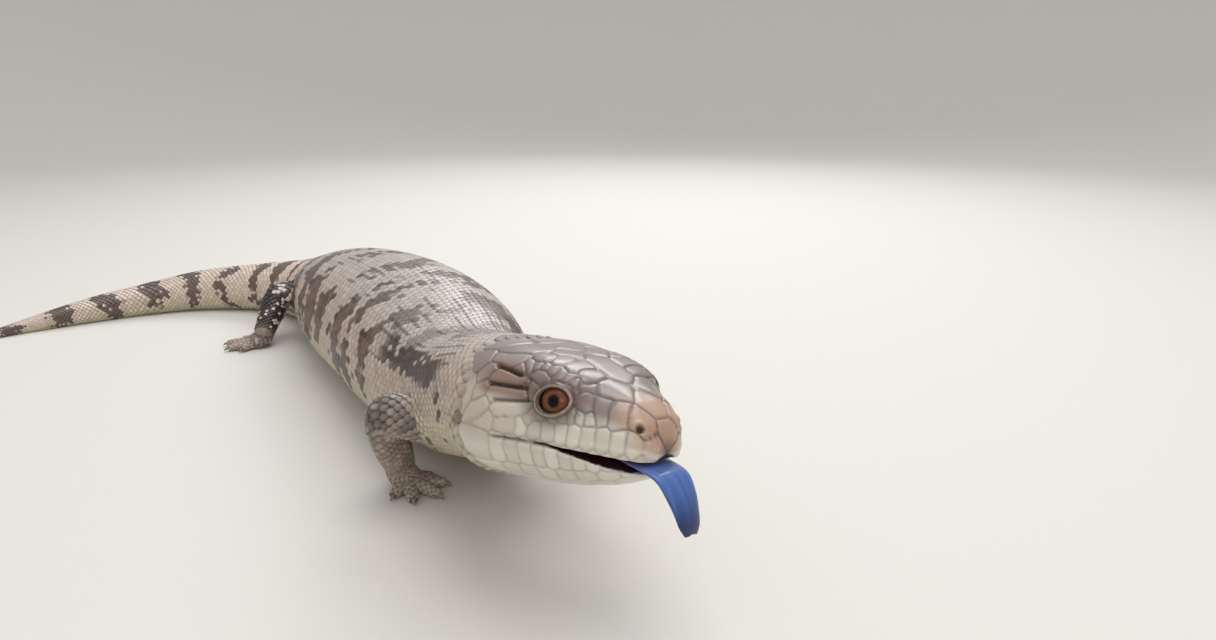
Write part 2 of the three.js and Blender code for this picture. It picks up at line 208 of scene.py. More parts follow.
def skin_point(s, angle):
    """A point of the hide: s behind the snout, angle from the animal's left side over its back."""
    s, angle = np.broadcast_arrays(np.asarray(s, float), np.asarray(angle, float))
    at, _, left, up = frame_at(s)
    half, top, bottom = np.moveaxis(size_of(s), -1, 0)
    cosine, sine = np.cos(angle), np.sin(angle)
    over = sine >= 0
    fade = smooth(*NECK_CHANGE, s)
    power = np.where(over, TOP_POWER + TOP_CHANGE * fade, BELLY_POWER + BELLY_CHANGE * fade)
    side = half * np.sign(cosine) * np.abs(cosine) ** (2 / power)
    height = np.where(over, top, bottom) * np.sign(sine) * np.abs(sine) ** (2 / power)
    return at + left * side[..., None] + up * height[..., None]


head_axes = frame_at(HEAD_MIDDLE)[1:]


def head_place(behind, side, up):
    """A place in the head: behind the snout, to the animal's left, above the mouth line."""
    forward, left, rise = head_axes
    behind, side, up = (np.asarray(v, float)[..., None] for v in (behind, side, up))
    return SNOUT - forward * behind + left * side + rise * up


def in_head(p):
    """The same three numbers for points p."""
    return -(p - SNOUT) @ head_axes[0], (p - SNOUT) @ head_axes[1], (p - SNOUT) @ head_axes[2]


print("snout to tail tip along the spine: %.0f mm" % (TOTAL_LENGTH / MM))

# %% [markdown]
# Meshes come from arrays of points and faces. One helper makes an object, one lofts rings of points into a
# closed surface, and one applies a modifier and keeps the result as a plain mesh. The rest read and move a
# mesh's points or find the nearest place on it.

# %% Mesh helpers
def mesh_object(name, points, faces):
    mesh = bpy.data.meshes.new(name)
    mesh.from_pydata(np.asarray(points).tolist(), [], [list(map(int, face)) for face in faces])
    mesh.update()
    piece = bpy.data.objects.new(name, mesh)
    bpy.context.scene.collection.objects.link(piece)
    return piece


def loft(rings):
    """Points and outward faces of a closed surface through rings of points, with a fan at each end."""
    count, sides = rings.shape[:2]
    points = np.concatenate([rings.reshape(-1, 3), rings[:1].mean(1), rings[-1:].mean(1)])
    i, j = np.meshgrid(np.arange(count - 1), np.arange(sides), indexing="ij")
    a, b = i * sides + j, i * sides + (j + 1) % sides
    quads = np.stack([a, b, b + sides, a + sides], -1).reshape(-1, 4)
    j = np.arange(sides)
    first_fan = np.stack([np.full(sides, count * sides), (j + 1) % sides, j], -1)
    last = (count - 1) * sides
    last_fan = np.stack([np.full(sides, count * sides + 1), last + j, last + (j + 1) % sides], -1)
    faces = [*quads.tolist(), *first_fan.tolist(), *last_fan.tolist()]
    across = points[quads[:, 2]] - points[quads[:, 0]]
    normals = np.cross(across, points[quads[:, 3]] - points[quads[:, 1]])
    volume = np.sum((points[quads[:, 0]] - points.mean(0)) * normals)
    return points, faces if volume > 0 else [face[::-1] for face in faces]


def ball(centre, radius, rows=32):
    """Points and faces of a ball."""
    steep = np.pi * (np.arange(rows - 1) + 1) / rows
    turn = 2 * np.pi * np.arange(2 * rows) / (2 * rows)
    flat = np.stack([np.cos(turn), np.sin(turn), 0 * turn], -1)
    outward = flat[None] * np.sin(steep)[:, None, None] + [0, 0, 1] * np.cos(steep)[:, None, None]
    points, faces = loft(centre + radius * outward)
    points[-2:] = centre + radius * np.array([[0, 0, 1], [0, 0, -1]])
    return points, faces


def joined_surfaces(surfaces):
    """Points and faces of several surfaces as one mesh."""
    points, faces = [], []
    for more, turns in surfaces:
        base = sum(len(part) for part in points)
        points.append(more)
        faces += [[base + corner for corner in face] for face in turns]
    return np.concatenate(points), faces


def apply_modifiers(piece):
    graph = bpy.context.evaluated_depsgraph_get()
    mesh = bpy.data.meshes.new_from_object(piece.evaluated_get(graph))
    piece.modifiers.clear()
    old, piece.data = piece.data, mesh
    bpy.data.meshes.remove(old)


def boolean(piece, cutter, operation):
    step = piece.modifiers.new(operation, "BOOLEAN")
    step.operation, step.solver, step.object = operation, "MANIFOLD", cutter
    apply_modifiers(piece)
    bpy.data.objects.remove(cutter)


def points_of(piece):
    points = np.empty(len(piece.data.vertices) * 3)
    piece.data.vertices.foreach_get("co", points)
    return points.reshape(-1, 3)


def set_points(piece, points):
    piece.data.vertices.foreach_set("co", np.asarray(points, float).ravel())
    piece.data.update()


def surface_of(piece):
    """A search tree that gives the nearest point of a piece and the normal there."""
    mesh = piece.data
    return BVHTree.FromPolygons([v.co for v in mesh.vertices], [p.vertices for p in mesh.polygons])


# %% [markdown]
# The head of a real skink is armoured with large smooth shields, laid out alike on both sides, with narrow
# grooves between them. Each shield here is a short seed line on the head. A point belongs to the nearest
# seed, and where two seeds are nearly as near, it lies in a groove. Each seed is given by the distance
# behind the snout in millimetres and degrees up from the side, at both of its ends.

# %% Head shields
MIDLINE_SHIELDS = {
    "rostral": (0.6, 60, 0.6, 90), "frontonasal": (5.8, 90, 7.6, 90), "frontal": (18, 90, 24.5, 90),
    "interparietal": (35, 90, 38, 90), "nuchal_1": (47, 90, 47, 90),
}
PAIRED_SHIELDS = {
    "nasal": (2.4, 40, 4.2, 50), "prefrontal": (12.0, 76, 14.0, 66), "loreal_1": (8.0, 34, 8.6, 44),
    "loreal_2": (11.4, 30, 12.4, 44), "preocular": (15.2, 34, 16.0, 46),
    "supraocular_1": (18.4, 58, 19.6, 68), "supraocular_2": (23.2, 62, 23.8, 74),
    "supraocular_3": (27.8, 62, 28.4, 72), "supraocular_4": (31.8, 62, 32.2, 68),
    "frontoparietal": (31.0, 83, 32.5, 78), "parietal": (37.5, 76, 43.5, 66),
    "parietal_side": (38.6, 53, 43.0, 50), "nuchal_2": (49.5, 74, 50.5, 82),
    "temporal_1": (34.2, 33.5, 40.0, 32.5), "temporal_2": (31.0, 23.0, 39.0, 19.0),
    "temporal_3": (29.5, 14.0, 36.5, 9.5), "temporal_4": (43.2, 38, 44.4, 30),
    "temporal_5": (42.6, 22, 43.0, 18), "temporal_6": (41.2, 11, 41.6, 8),
    "temporal_7": (47.5, 44, 48.5, 36), "temporal_8": (47.6, 24, 48, 18),
    "postocular_1": (27.6, 40, 28.6, 44), "postocular_2": (28.2, 31, 28.8, 28),
    "postocular_3": (25.4, 14.0, 28.4, 8.0), "last_labial": (32.5, 3.5, 35.5, 3.0),
    "temple_end": (39.0, 3.5, 39.6, 2.0), "brow_front": (16.6, 54, 17.6, 52),
}
BROW_ROW = [(19.4, 49), (21.6, 51), (24.0, 52), (26.4, 53), (28.8, 53), (31.2, 52), (33.2, 49), (34.6, 44)]
UNDER_EYE_ROW = [(13.6, 23), (15.6, 21), (17.6, 19), (19.4, 16.5), (21.6, 15)]
UPPER_LIP_ROW = [
    (1.0, 20), (3.4, 15), (6.6, 10.5), (9.8, 9), (13.0, 8), (16.2, 7), (19.2, 6), (22.2, 5), (26.0, 3),
    (29.6, 3),
]
UPPER_LIP_FOOT, UPPER_LIP_LEAST = 3.5, 6  # degrees up, for the lower ends and the lowest upper end
LOWER_LIP_ROW = [2.4, 5.4, 8.4, 11.6, 14.8, 18.0, 21.2, 24.6, 28.2, 32.0, 36.0, 40.0]
LOWER_LIP_TOP, LOWER_LIP_FOOT = -4, -19
CHIN_ROWS = {-36: [3.5, 8.5, 13.5, 18.5, 23.5, 28.5, 33.5, 38.5], -62: [6, 12, 18, 24, 30, 36]}


def seeds_on_one_side():
    """The seed of every shield that has a twin on the other side of the head."""
    rows = list(PAIRED_SHIELDS.values())
    rows += [(s, up, s, up) for s, up in BROW_ROW + UNDER_EYE_ROW]
    rows += [(s, UPPER_LIP_FOOT, s, max(up + 2, UPPER_LIP_LEAST)) for s, up in UPPER_LIP_ROW]
    rows += [(s, LOWER_LIP_TOP, s, LOWER_LIP_FOOT) for s in LOWER_LIP_ROW]
    rows += [(s, up, s + 1.5, up) for up, places in CHIN_ROWS.items() for s in places]
    return rows


one_side = np.array(seeds_on_one_side(), float)
other_side = one_side * [1, -1, 1, -1] + [0, 180, 0, 180]
seeds = np.concatenate([list(MIDLINE_SHIELDS.values()), one_side, other_side])
seed_from = skin_point(seeds[:, 0] * MM, np.radians(seeds[:, 1]))
seed_to = skin_point(seeds[:, 2] * MM, np.radians(seeds[:, 3]))
print("head shields:", len(seeds))

# %% [markdown]
# Natural surfaces need small irregularity. This is value noise: random numbers on a lattice of cubes,
# blended smoothly in between. The numbers come from whole-number arithmetic, so every run gives the same.
# The last helper finds the nearest shields, from which both the relief and the colours are made.

# %% Repeatable noise
def lattice(ix, iy, iz, seed=0):
    """A repeatable random number from 0 to 1 for each whole-number cell, by large odd multipliers."""
    with np.errstate(over="ignore"):
        h = (np.asarray(ix, np.int64) * 73856093) ^ (np.asarray(iy, np.int64) * 19349663)
        h = (h ^ (np.asarray(iz, np.int64) * 83492791) ^ (seed * 2654435761)) & 0xFFFFFFFF
        h = ((h ^ (h >> 15)) * 2246822519) & 0xFFFFFFFF
        h = ((h ^ (h >> 13)) * 3266489917) & 0xFFFFFFFF
        return ((h ^ (h >> 16)) & 0xFFFFFF) / 0xFFFFFF


def noise(p, size, seed=0):
    """Smooth noise from -1 to 1 at points p, with bumps about size across."""
    q = np.asarray(p, float) / size
    cell = np.floor(q).astype(np.int64)
    t = q - cell
    t = t * t * (3 - 2 * t)
    total = 0
    for corner in np.ndindex(2, 2, 2):
        weight = np.prod(np.where(corner, t, 1 - t), axis=-1)
        total = total + weight * lattice(*np.moveaxis(cell + corner, -1, 0), seed)
    return 2 * total - 1


BATCH = 8000  # points measured at once, so that the arrays stay small


def to_seeds(p):
    """How much farther the second nearest shield is than the nearest, and which shield is nearest."""
    gap, which = np.empty(len(p)), np.empty(len(p), int)
    line = seed_to - seed_from
    length = np.maximum(np.sum(line**2, -1), TINY)
    for start in range(0, len(p), BATCH):
        part = p[start:start + BATCH, None]
        t = np.clip(np.sum((part - seed_from) * line, -1) / length, 0, 1)
        distance = np.linalg.norm(part - seed_from - t[..., None] * line, axis=-1)
        order = np.argpartition(distance, 1, axis=1)[:, :2]
        near = np.take_along_axis(distance, order, 1)
        flip = near[:, 0] > near[:, 1]
        gap[start:start + BATCH] = np.abs(near[:, 1] - near[:, 0])
        which[start:start + BATCH] = np.where(flip, order[:, 1], order[:, 0])
    return gap, which


print("noise at the snout: %.3f" % noise(SNOUT, 10 * MM))


# %% [markdown]
# The skull under the shields has its own forms: a brow that overhangs the eye, cheeks that swell at the
# back of the jaw, deep creases in the temple, lips, nostrils and ear openings. Each is a small hill or pit
# added along the surface normal, set in the head by three distances in millimetres: behind the snout, to
# the side and above the mouth line. Each stands on both sides of the head.

# %% Hills, creases and other places on the head
# behind, side, up, radius, height
HILLS = [
    (20, 14.5, 16.0, 6.0, 1.3), (28, 15.0, 17.0, 6.0, 0.8), (12.5, 9.5, 10.5, 4.0, -0.5),
    (43, 24.0, -3.0, 10.0, 1.2), (6.0, 9.0, 5.0, 3.0, 0.5), (10.0, 6.0, 13.0, 4.5, 0.4),
]
# Creases run between two points given by behind and degrees up, then depth and half width
CREASES = [
    (41.5, 43.0, 33.8, 39.5, 1.5, 0.55), (40.8, 26.0, 30.6, 29.0, 1.3, 0.5),
    (38.0, 15.2, 28.6, 20.0, 0.7, 0.4), (30.4, 38.0, 29.2, 20.0, 0.5, 0.4),
]
SHIELD_SWELL, SHIELD_EDGE = 0.22 * MM, 1.2 * MM  # height of a shield, and the rise at its edge
GROOVE_DEPTH, GROOVE_WIDTH = 0.30 * MM, 0.5 * MM
NOSTRIL = (3.3, 38.0)  # behind and degrees up
NOSTRIL_DEPTH, NOSTRIL_RADIUS = 1.8 * MM, 0.85 * MM
NOSTRIL_RIM, NOSTRIL_RIM_AT, NOSTRIL_RIM_WIDTH = 0.35 * MM, 1.5 * MM, 0.6 * MM
EAR = (54, 22.5, -1.0)  # behind, side, up
EAR_RADII, EAR_DEPTH = np.array([2.2, 2.2, 3.6]) * MM, 2.6 * MM
LIP_SWELL, LIP_FROM_LINE, LIP_WIDTH = 0.35 * MM, 1.5 * MM, 1.0 * MM
LIP_BOW, LIP_DROP = 0.7 * MM, 0.6 * MM
LINE_DEPTH, LINE_WIDTH = 0.9 * MM, 0.36 * MM  # of the closed part of the mouth
MOUTH_OPEN = 27 * MM  # the lips part in front of this
EYE_AXIS = np.array([0.30, 0.93, 0.20])  # ahead, to the side, up
EYE_HALF_LENGTH, EYE_HALF_HEIGHT = 4.1 * MM, 3.0 * MM  # of the opening between the lids
LID_TILT = 0.25  # the slope of the opening, higher at its front corner
LID_THICKNESS, LID_SOFTNESS = 0.85 * MM, 0.5 * MM
# Where on the rings of opening_ring, how wide, and how high or deep
LID_RIM, LID_FOLD = (1.10, 0.12, 0.22 * MM), (1.42, 0.11, 0.35 * MM)
print("hills and creases on each side:", len(HILLS) + len(CREASES))


def lip_height(behind, lower):
    """Height of the lips: the upper lip bows a little, and the lower one drops away towards the front."""
    line = LIP_BOW * np.sin(np.pi * behind / MOUTH_CORNER) - LIP_DROP
    return line - lower * MOUTH_GAPE * (1 - smooth(3 * MM, MOUTH_OPEN, behind))


def side_sign(p):
    return np.where(in_head(p)[1] >= 0, 1.0, -1.0)


def on_side(side, degrees_up):
    """The section's angle for degrees up from the side, on the animal's left for 1 and its right for -1."""
    return np.radians(degrees_up if side > 0 else 180 - degrees_up)


def eye_centre(side):
    behind, out, up = EYE_PLACE
    return head_place(behind, side * out, up)


def eye_axis(side):
    ahead, out, up = EYE_AXIS
    return unit(ahead * head_axes[0] + side * out * head_axes[1] + up * head_axes[2])


def lid_axes(side):
    """Out of the eye, along the opening of the lids, and across it."""
    axis = eye_axis(side)
    level = unit(np.cross(axis, head_axes[2]))
    level = unit(level + LID_TILT * side * head_axes[2])
    return axis, level, np.cross(axis, level)


def opening_ring(p, side):
    """How far out from the middle of the lids a point is, 1 on the edge of the eye's opening."""
    axis, level, third = lid_axes(side)
    d = p - eye_centre(side)
    return np.hypot(d @ level / EYE_HALF_LENGTH, d @ third / EYE_HALF_HEIGHT), d @ axis


def line_distance(p, a, b):
    t = np.clip((p - a) @ (b - a) / np.sum((b - a) ** 2), 0, 1)
    return np.linalg.norm(p - a - t[..., None] * (b - a), axis=-1)


# %% [markdown]
# One function for each form takes the points of the head and moves them along the normal. Grooves lie
# between the shields, the temple has creases, the lips swell, and behind the open part they meet in a
# line. The lids are the skin itself, lifted over the eyeball, with a raised rim and a fold round it.

# %% The forms of the head
def add_hills(p, normal):
    """Raises the brow and the cheek and sinks the hollow before the eye."""
    moved = p.copy()
    for behind, out, up, radius, height in np.array(HILLS) * MM:
        for side in (-1, 1):
            d = np.linalg.norm(p - head_place(behind, side * out, up), axis=-1)
            moved += normal * (height * bell(d, radius))[:, None]
    return moved


def carve_shields(p):
    """The relief of the shields, with how much each point lies in a groove and the shield it is on."""
    gap, which = to_seeds(p + 0.15 * MM * noise(p, 2.5 * MM, 3)[:, None])
    groove = bell(gap, GROOVE_WIDTH)
    relief = SHIELD_SWELL * (1 - np.exp(-gap / SHIELD_EDGE)) - GROOVE_DEPTH * groove
    return relief, groove, which


def carve_creases(p, relief, dark):
    """The creases of the temple, cut in the relief and marked dark, for painted shade in them."""
    for s0, up0, s1, up1, depth, half in CREASES:
        for side in (1, -1):
            ends = [skin_point(s * MM, on_side(side, up)) for s, up in ((s0, up0), (s1, up1))]
            cut = bell(line_distance(p, *ends), half * MM)
            relief = relief - depth * MM * cut
            dark = np.maximum(dark, cut)
    return relief, dark


def shape_lips(p, relief, dark):
    """The lips swell on both sides of the mouth, and their closed part is a narrow groove marked for painted
    shade.
    """
    behind, _, level = in_head(p)
    lips = smooth(0, 2 * MM, behind) * (1 - smooth(34 * MM, 40 * MM, behind))
    relief = relief + LIP_SWELL * lips * bell(np.abs(level) - LIP_FROM_LINE, LIP_WIDTH)
    closed = smooth(MOUTH_OPEN - 8 * MM, MOUTH_OPEN - 4 * MM, behind)
    closed = closed * (1 - smooth(36 * MM, 39 * MM, behind))
    line = closed * bell(level - lip_height(behind, 0), LINE_WIDTH)
    return relief - LINE_DEPTH * line, np.maximum(dark, 0.85 * line)


def lift_lids(p, moved, side):
    """Lifts the skin over the eyeball, with a rim round the opening and a fold round the rim."""
    centre = eye_centre(side)
    d = np.linalg.norm(moved - centre, axis=-1)
    lift = EYE_RADIUS + LID_THICKNESS
    target = lift + LID_SOFTNESS * np.logaddexp(0, (d - lift) / LID_SOFTNESS)
    ring, depth = opening_ring(moved, side)
    near = (side_sign(p) == side) & (d < lift + 5 * LID_SOFTNESS) & (depth > 0)
    rim_at, rim_width, rim_height = LID_RIM
    fold_at, fold_width, fold_depth = LID_FOLD
    rim = rim_height * bell(ring - rim_at, rim_width) - fold_depth * bell(ring - fold_at, fold_width)
    pushed = centre + (moved - centre) / d[:, None] * (target + rim)[:, None]
    return np.where(near[:, None], pushed, moved)


def pierce_nostril(p, moved, normal, dark, side):
    nose = skin_point(NOSTRIL[0] * MM, on_side(side, NOSTRIL[1]))
    d = np.linalg.norm(p - nose, axis=-1)
    hole = (NOSTRIL_RIM * bell(d - NOSTRIL_RIM_AT, NOSTRIL_RIM_WIDTH)
            - NOSTRIL_DEPTH * bell(d, NOSTRIL_RADIUS, 4))
    # The nostril's hole is darkened with painted shade.
    return moved + normal * hole[:, None], np.maximum(dark, bell(d, 0.9 * MM, 4))


def pierce_ear(p, moved, normal, dark, side):
    behind, out, up = np.array(EAR) * MM
    e = (p - head_place(behind, side * out, up)) / EAR_RADII
    pit = np.exp(-np.sum(e**2, -1) ** 2)
    # The ear's pit is darkened with painted shade.
    return moved - normal * (EAR_DEPTH * pit)[:, None], np.maximum(dark, pit)


def shape_head(p, normal):
    """The head's points with all its forms, how far each is in a groove and in a crease or hole, where shade
    is painted, and its shield.
    """
    moved = add_hills(p, normal)
    relief, groove, which = carve_shields(p)
    relief, dark = carve_creases(p, relief, np.zeros(len(p)))
    relief, dark = shape_lips(p, relief, dark)
    moved = moved + normal * relief[:, None]
    for side in (-1, 1):
        moved = lift_lids(p, moved, side)
        moved, dark = pierce_nostril(p, moved, normal, dark, side)
        moved, dark = pierce_ear(p, moved, normal, dark, side)
    return moved, groove, dark, which


# %% [markdown]
# The skin is one closed surface. Its rings are close together on the head, where the shields need them,
# and wider apart down the tail. It is set a little inside the solids, since the scales add their depth.
# The section turns sharply at the mouth line, so a few more angles lie just above it on both sides.

# %% The body's skin
RING_STEPS = [(0.4, 62, 0.36), (62, 330, 1.8), (330, 518, 2.6)]  # from, to and step in mm along the spine
EVEN_SIDES = 320
BY_THE_LIPS = np.array([0.0012, 0.004, 0.009, 0.0145])
places = np.concatenate([*(np.arange(*step) for step in RING_STEPS), [TOTAL_LENGTH / MM]]) * MM
angles = np.sort(np.concatenate([
    2 * np.pi * np.arange(EVEN_SIDES) / EVEN_SIDES, BY_THE_LIPS, np.pi - BY_THE_LIPS,
]))
grid_s, grid_angle = np.meshgrid(places, angles, indexing="ij")


def bare_rings():
    """The body's section at every ring, inside the scales, and the normals there."""
    rings = skin_point(grid_s, grid_angle)
    ahead_of = skin_point(np.maximum(grid_s - 0.2 * MM, 0.4 * MM), grid_angle)
    behind_of = skin_point(np.maximum(grid_s + 0.2 * MM, 0.6 * MM), grid_angle)
    around = np.roll(rings, -1, 1) - np.roll(rings, 1, 1)
    normals = unit(np.cross(behind_of - ahead_of, around))
    outward = np.sum(normals * (rings - frame_at(grid_s)[0]), -1, keepdims=True)
    normals = np.where(outward < 0, -normals, normals)
    coat = COAT_DEPTH * smooth(48 * MM, HEAD_END, grid_s)
    return rings - normals * coat[..., None], normals


rings, normals = bare_rings()
head_rings = places < HEAD_END
plain_head = rings[head_rings].reshape(-1, 3)
shaped_head, head_groove, head_painted_shade, head_shield = shape_head(plain_head, normals[head_rings].reshape(-1, 3))
share = (1 - smooth(50 * MM, 61 * MM, grid_s[head_rings])).reshape(-1, 1)
rings[head_rings] = (plain_head + (shaped_head - plain_head) * share).reshape(rings[head_rings].shape)
rings[..., 2] = np.maximum(rings[..., 2], COAT_DEPTH)
skin = mesh_object("skin", *loft(rings))
print("skin of the body: %d points" % len(skin.data.vertices))

# %% [markdown]
# Each leg is a bent tube with a foot of a palm and five toes. The tubes of a leg overlap, so they are
# remeshed into one surface of even small faces, smoothed as muscle would be, and joined to the body.

# %% Legs and feet
# From inside the body: root, shoulder, elbow, forearm, ankle, then a radius at each and the toes' heading
LEGS = {
    "front_right": ([[91, -57, 26], [84.5, -68, 30], [76, -75.5, 31], [72.5, -72, 19.5], [67, -65.5, 8.5]],
                    [9.5, 7.8, 6.5, 6.0, 4.9], -2, 1, -1),
    "front_left": ([[88, -38, 25], [97, -26, 28], [104.5, -14, 29], [106, -8, 19], [107, -3, 8.5]],
                   [9.5, 7.8, 6.5, 6.0, 4.9], 45, 1, 1),
    "hind_right": ([[-97, 27, 17], [-102, 16, 21.5], [-108, 5, 22], [-106, -2, 15], [-102, -9.5, 8]],
                   [10.5, 9, 7, 5.8, 4.7], -150, 1.1, -1),
    "hind_left": ([[-99, 42, 17], [-94, 56, 21.5], [-89.5, 68, 22], [-92, 74, 15], [-96, 81, 8]],
                  [10.5, 9, 7, 5.8, 4.7], 70, 1.1, 1),
}
LEG_RINGS, LEG_SIDES = 60, 40
TOES = [(66, 9), (36, 13), (4, 15), (-30, 12.5), (-68, 9)]  # turn in degrees and length, thumb first
KNUCKLE_REACH = 3.4  # from the ankle
TOE_RADII = np.array([2.3, 2.2, 2.0, 1.45]) * MM
PALM_PATH = [(-0.5, 8), (0.6, 5.2), (4, 3.4), (7.6, 2.4)]  # ahead of the ankle and above the floor
PALM_RADII = np.array([4.3, 4.9, 4.9, 3.4]) * MM
VOXEL = 0.42 * MM
Tube = namedtuple("Tube", "rings path along across third")


def tube(centres, radii, count, sides, squash=1.0):
    """Rings round a smooth curve, carried along it without twisting, and the frame of each ring."""
    rows = curve_through([[i, *c, r] for i, (c, r) in enumerate(zip(centres, radii))])
    t = np.linspace(0, len(centres) - 1, count)
    path, radius = rows(t)[:, :3], rows(t)[:, 3]
    along = unit(np.gradient(path, axis=0))
    across = np.empty_like(along)
    side = unit(np.cross([0, 0, 1.0], along[0]) + [1e-9, 0, 0])
    for i, direction in enumerate(along):
        side = unit(side - direction * (side @ direction))
        across[i] = side
    third = np.cross(along, across)
    angle = 2 * np.pi * np.arange(sides) / sides
    reach = radius[:, None, None]
    rings = (path[:, None] + across[:, None] * np.cos(angle)[:, None] * reach
             + third[:, None] * np.sin(angle)[:, None] * reach * squash)
    return Tube(rings, path, along, across, third)


def palm_tube(palm):
    return tube(palm, PALM_RADII, 14, 20, 0.85)


def toe_tube(toe):
    return tube(toe, TOE_RADII, 14, 14)


def foot_lines(leg):
    """The centre lines of a foot: each toe's from the knuckle with its claw's, and the palm's."""
    ankle, heading, size, side = np.array(leg[0][-1][:2]) * MM, leg[2], leg[3], leg[4]

    def place(start, degrees, reach, height):
        way = np.array([math.cos(math.radians(degrees)), math.sin(math.radians(degrees))])
        return [*(start + way * reach * MM * size), height * MM]

    knuckle = np.array(place(ankle, heading, KNUCKLE_REACH, 0)[:2])
    toes = []
    for turn, length in TOES:
        toe = [(0, 2.5), (length * 0.4, 2.6), (length * 0.75, 2.1), (length, 1.6)]
        claw = [(length - 1, 1.7), (length + 0.9, 1.6), (length + 2.0, 0.7)]
        way = heading - side * turn
        toes.append([np.array([place(knuckle, way, *at) for at in line]) for line in (toe, claw)])
    return toes, np.array([place(ankle, heading, *at) for at in PALM_PATH])


def rest_on_floor(rings):
    rings[..., 2] = np.maximum(rings[..., 2], COAT_DEPTH)
    return rings


def leg_piece(name, leg, limb):
    """One even surface for a leg with its foot; balls fill the outer side of the elbow and the ankle."""
    centres, radii = np.array(leg[0]) * MM, np.array(leg[1]) * MM - COAT_DEPTH
    toes, palm = foot_lines(leg)
    surfaces = [loft(rest_on_floor(limb.rings))]
    surfaces += [ball(centres[2], radii[2] * 1.04), ball(centres[-1], radii[-1] * 1.02)]
    surfaces += [loft(rest_on_floor(palm_tube(palm).rings))]
    surfaces += [loft(rest_on_floor(toe_tube(toe).rings)) for toe, _ in toes]
    piece = mesh_object(name, *joined_surfaces(surfaces))
    remesh = piece.modifiers.new("remesh", "REMESH")
    remesh.mode, remesh.voxel_size = "VOXEL", VOXEL
    relax = piece.modifiers.new("relax", "SMOOTH")
    relax.factor, relax.iterations = 0.5, 7
    apply_modifiers(piece)
    return piece


limbs, leg_surfaces = {}, {}
for name, leg in LEGS.items():
    limbs[name] = tube(np.array(leg[0]) * MM, np.array(leg[1]) * MM - COAT_DEPTH, LEG_RINGS, LEG_SIDES)
    piece = leg_piece(name, leg, limbs[name])
    leg_surfaces[name] = surface_of(piece)
    boolean(skin, piece, "UNION")
print("skin with legs: %d points" % len(skin.data.vertices))

# %% [markdown]
# Where a leg leaves the body, the two surfaces meet in a hard line. Relaxing the points near both surfaces
# turns it into the soft fold of an armpit.

# %% Soften the roots of the legs
ROOT_RINGS = 22  # the leg's first rings, which lie in or near the body
ROOT_REACH, SOFT_REACH = 26 * MM, 4 * MM
FOLD_STRENGTH, FOLD_ROUNDS = 0.8, 40


def neighbours(piece):
    edges = np.empty(len(piece.data.edges) * 2, np.int64)
    piece.data.edges.foreach_get("vertices", edges)
    return edges.reshape(-1, 2)


def relax_points(piece, weight, rounds):
    """Moves each point towards the mean of its neighbours, by its weight, again and again."""
    points, edges = points_of(piece), neighbours(piece)
    count = np.bincount(edges.ravel(), minlength=len(points))[:, None]
    for _ in range(rounds):
        total = np.zeros_like(points)
        for axis in range(3):
            total[:, axis] = (np.bincount(edges[:, 0], points[edges[:, 1], axis], len(points))
                              + np.bincount(edges[:, 1], points[edges[:, 0], axis], len(points)))
        points += (total / np.maximum(count, 1) - points) * weight[:, None]
    set_points(piece, points)


def distance_to(surface, points, reach):
    """Distance to a surface, or reach where it is farther."""
    found = (surface.find_nearest(Vector(p), reach) for p in points)
    return np.array([reach if hit[0] is None else hit[3] for hit in found])


body_points, body_faces = loft(rings[::2, ::4])
body_surface = BVHTree.FromPolygons(body_points.tolist(), body_faces)
points = points_of(skin)
weight = np.zeros(len(points))
for name, limb in limbs.items():
    root = limb.path[:ROOT_RINGS].mean(0)
    close = np.flatnonzero(np.linalg.norm(points - root, axis=1) < ROOT_REACH)
    to_leg = distance_to(leg_surfaces[name], points[close], SOFT_REACH)
    to_body = distance_to(body_surface, points[close], SOFT_REACH)
    weight[close] = np.maximum(weight[close], 1 - np.maximum(to_leg, to_body) / SOFT_REACH)
relax_points(skin, FOLD_STRENGTH * weight, FOLD_ROUNDS)
print("softened points: %d" % np.count_nonzero(weight))

# %% [markdown]
# The mouth is a thin slot that follows the lips back to the corner and opens towards the snout. It is cut
# with a wedge between the upper and the lower lip line. Each eye gets a round socket for the eyeball and
# an oval opening through the lids. The new edges are then relaxed, since no lip or lid has a sharp edge.

# %% Cut the mouth and the eyes
SOCKET_GAP = 0.05 * MM
EDGE_STRENGTH, EDGE_ROUNDS = 0.5, 10


def mouth_wedge():
    """Cuts from ahead of the snout back to where the lips meet, across the whole head."""
    behind = np.concatenate([[-12], np.arange(0, MOUTH_OPEN / MM, 0.8)]) * MM
    upper = lip_height(np.maximum(behind, 0), 0)
    lower = lip_height(np.maximum(behind, 0), 1) - 0.02 * MM
    outline = [*zip(behind, upper), *zip(behind[::-1], lower[::-1])]
    across = np.arange(-30, 30.1, 0.6) * MM
    rings = np.array([[head_place(b, side, z) for b, z in outline] for side in across])
    return mesh_object("mouth_wedge", *loft(rings))


def eye_opening(side):
    """An oval that widens outwards, from inside the eyeball to clear of the lids."""
    axis, level, third = lid_axes(side)
    angle = 2 * np.pi * np.arange(48) / 48
    lid = (level * (EYE_HALF_LENGTH * np.cos(angle))[:, None]
           + third * (EYE_HALF_HEIGHT * np.sin(angle))[:, None])
    rings = [eye_centre(side) + axis * d * MM + lid * (1 + 0.035 * (d - 5)) for d in (1.0, 3.0, 5.0, 12.0)]
    return mesh_object("eye_opening", *loft(np.array(rings)))


boolean(skin, mouth_wedge(), "DIFFERENCE")
for side in (-1, 1):
    boolean(skin, mesh_object("socket", *ball(eye_centre(side), EYE_RADIUS + SOCKET_GAP)), "DIFFERENCE")
    boolean(skin, eye_opening(side), "DIFFERENCE")

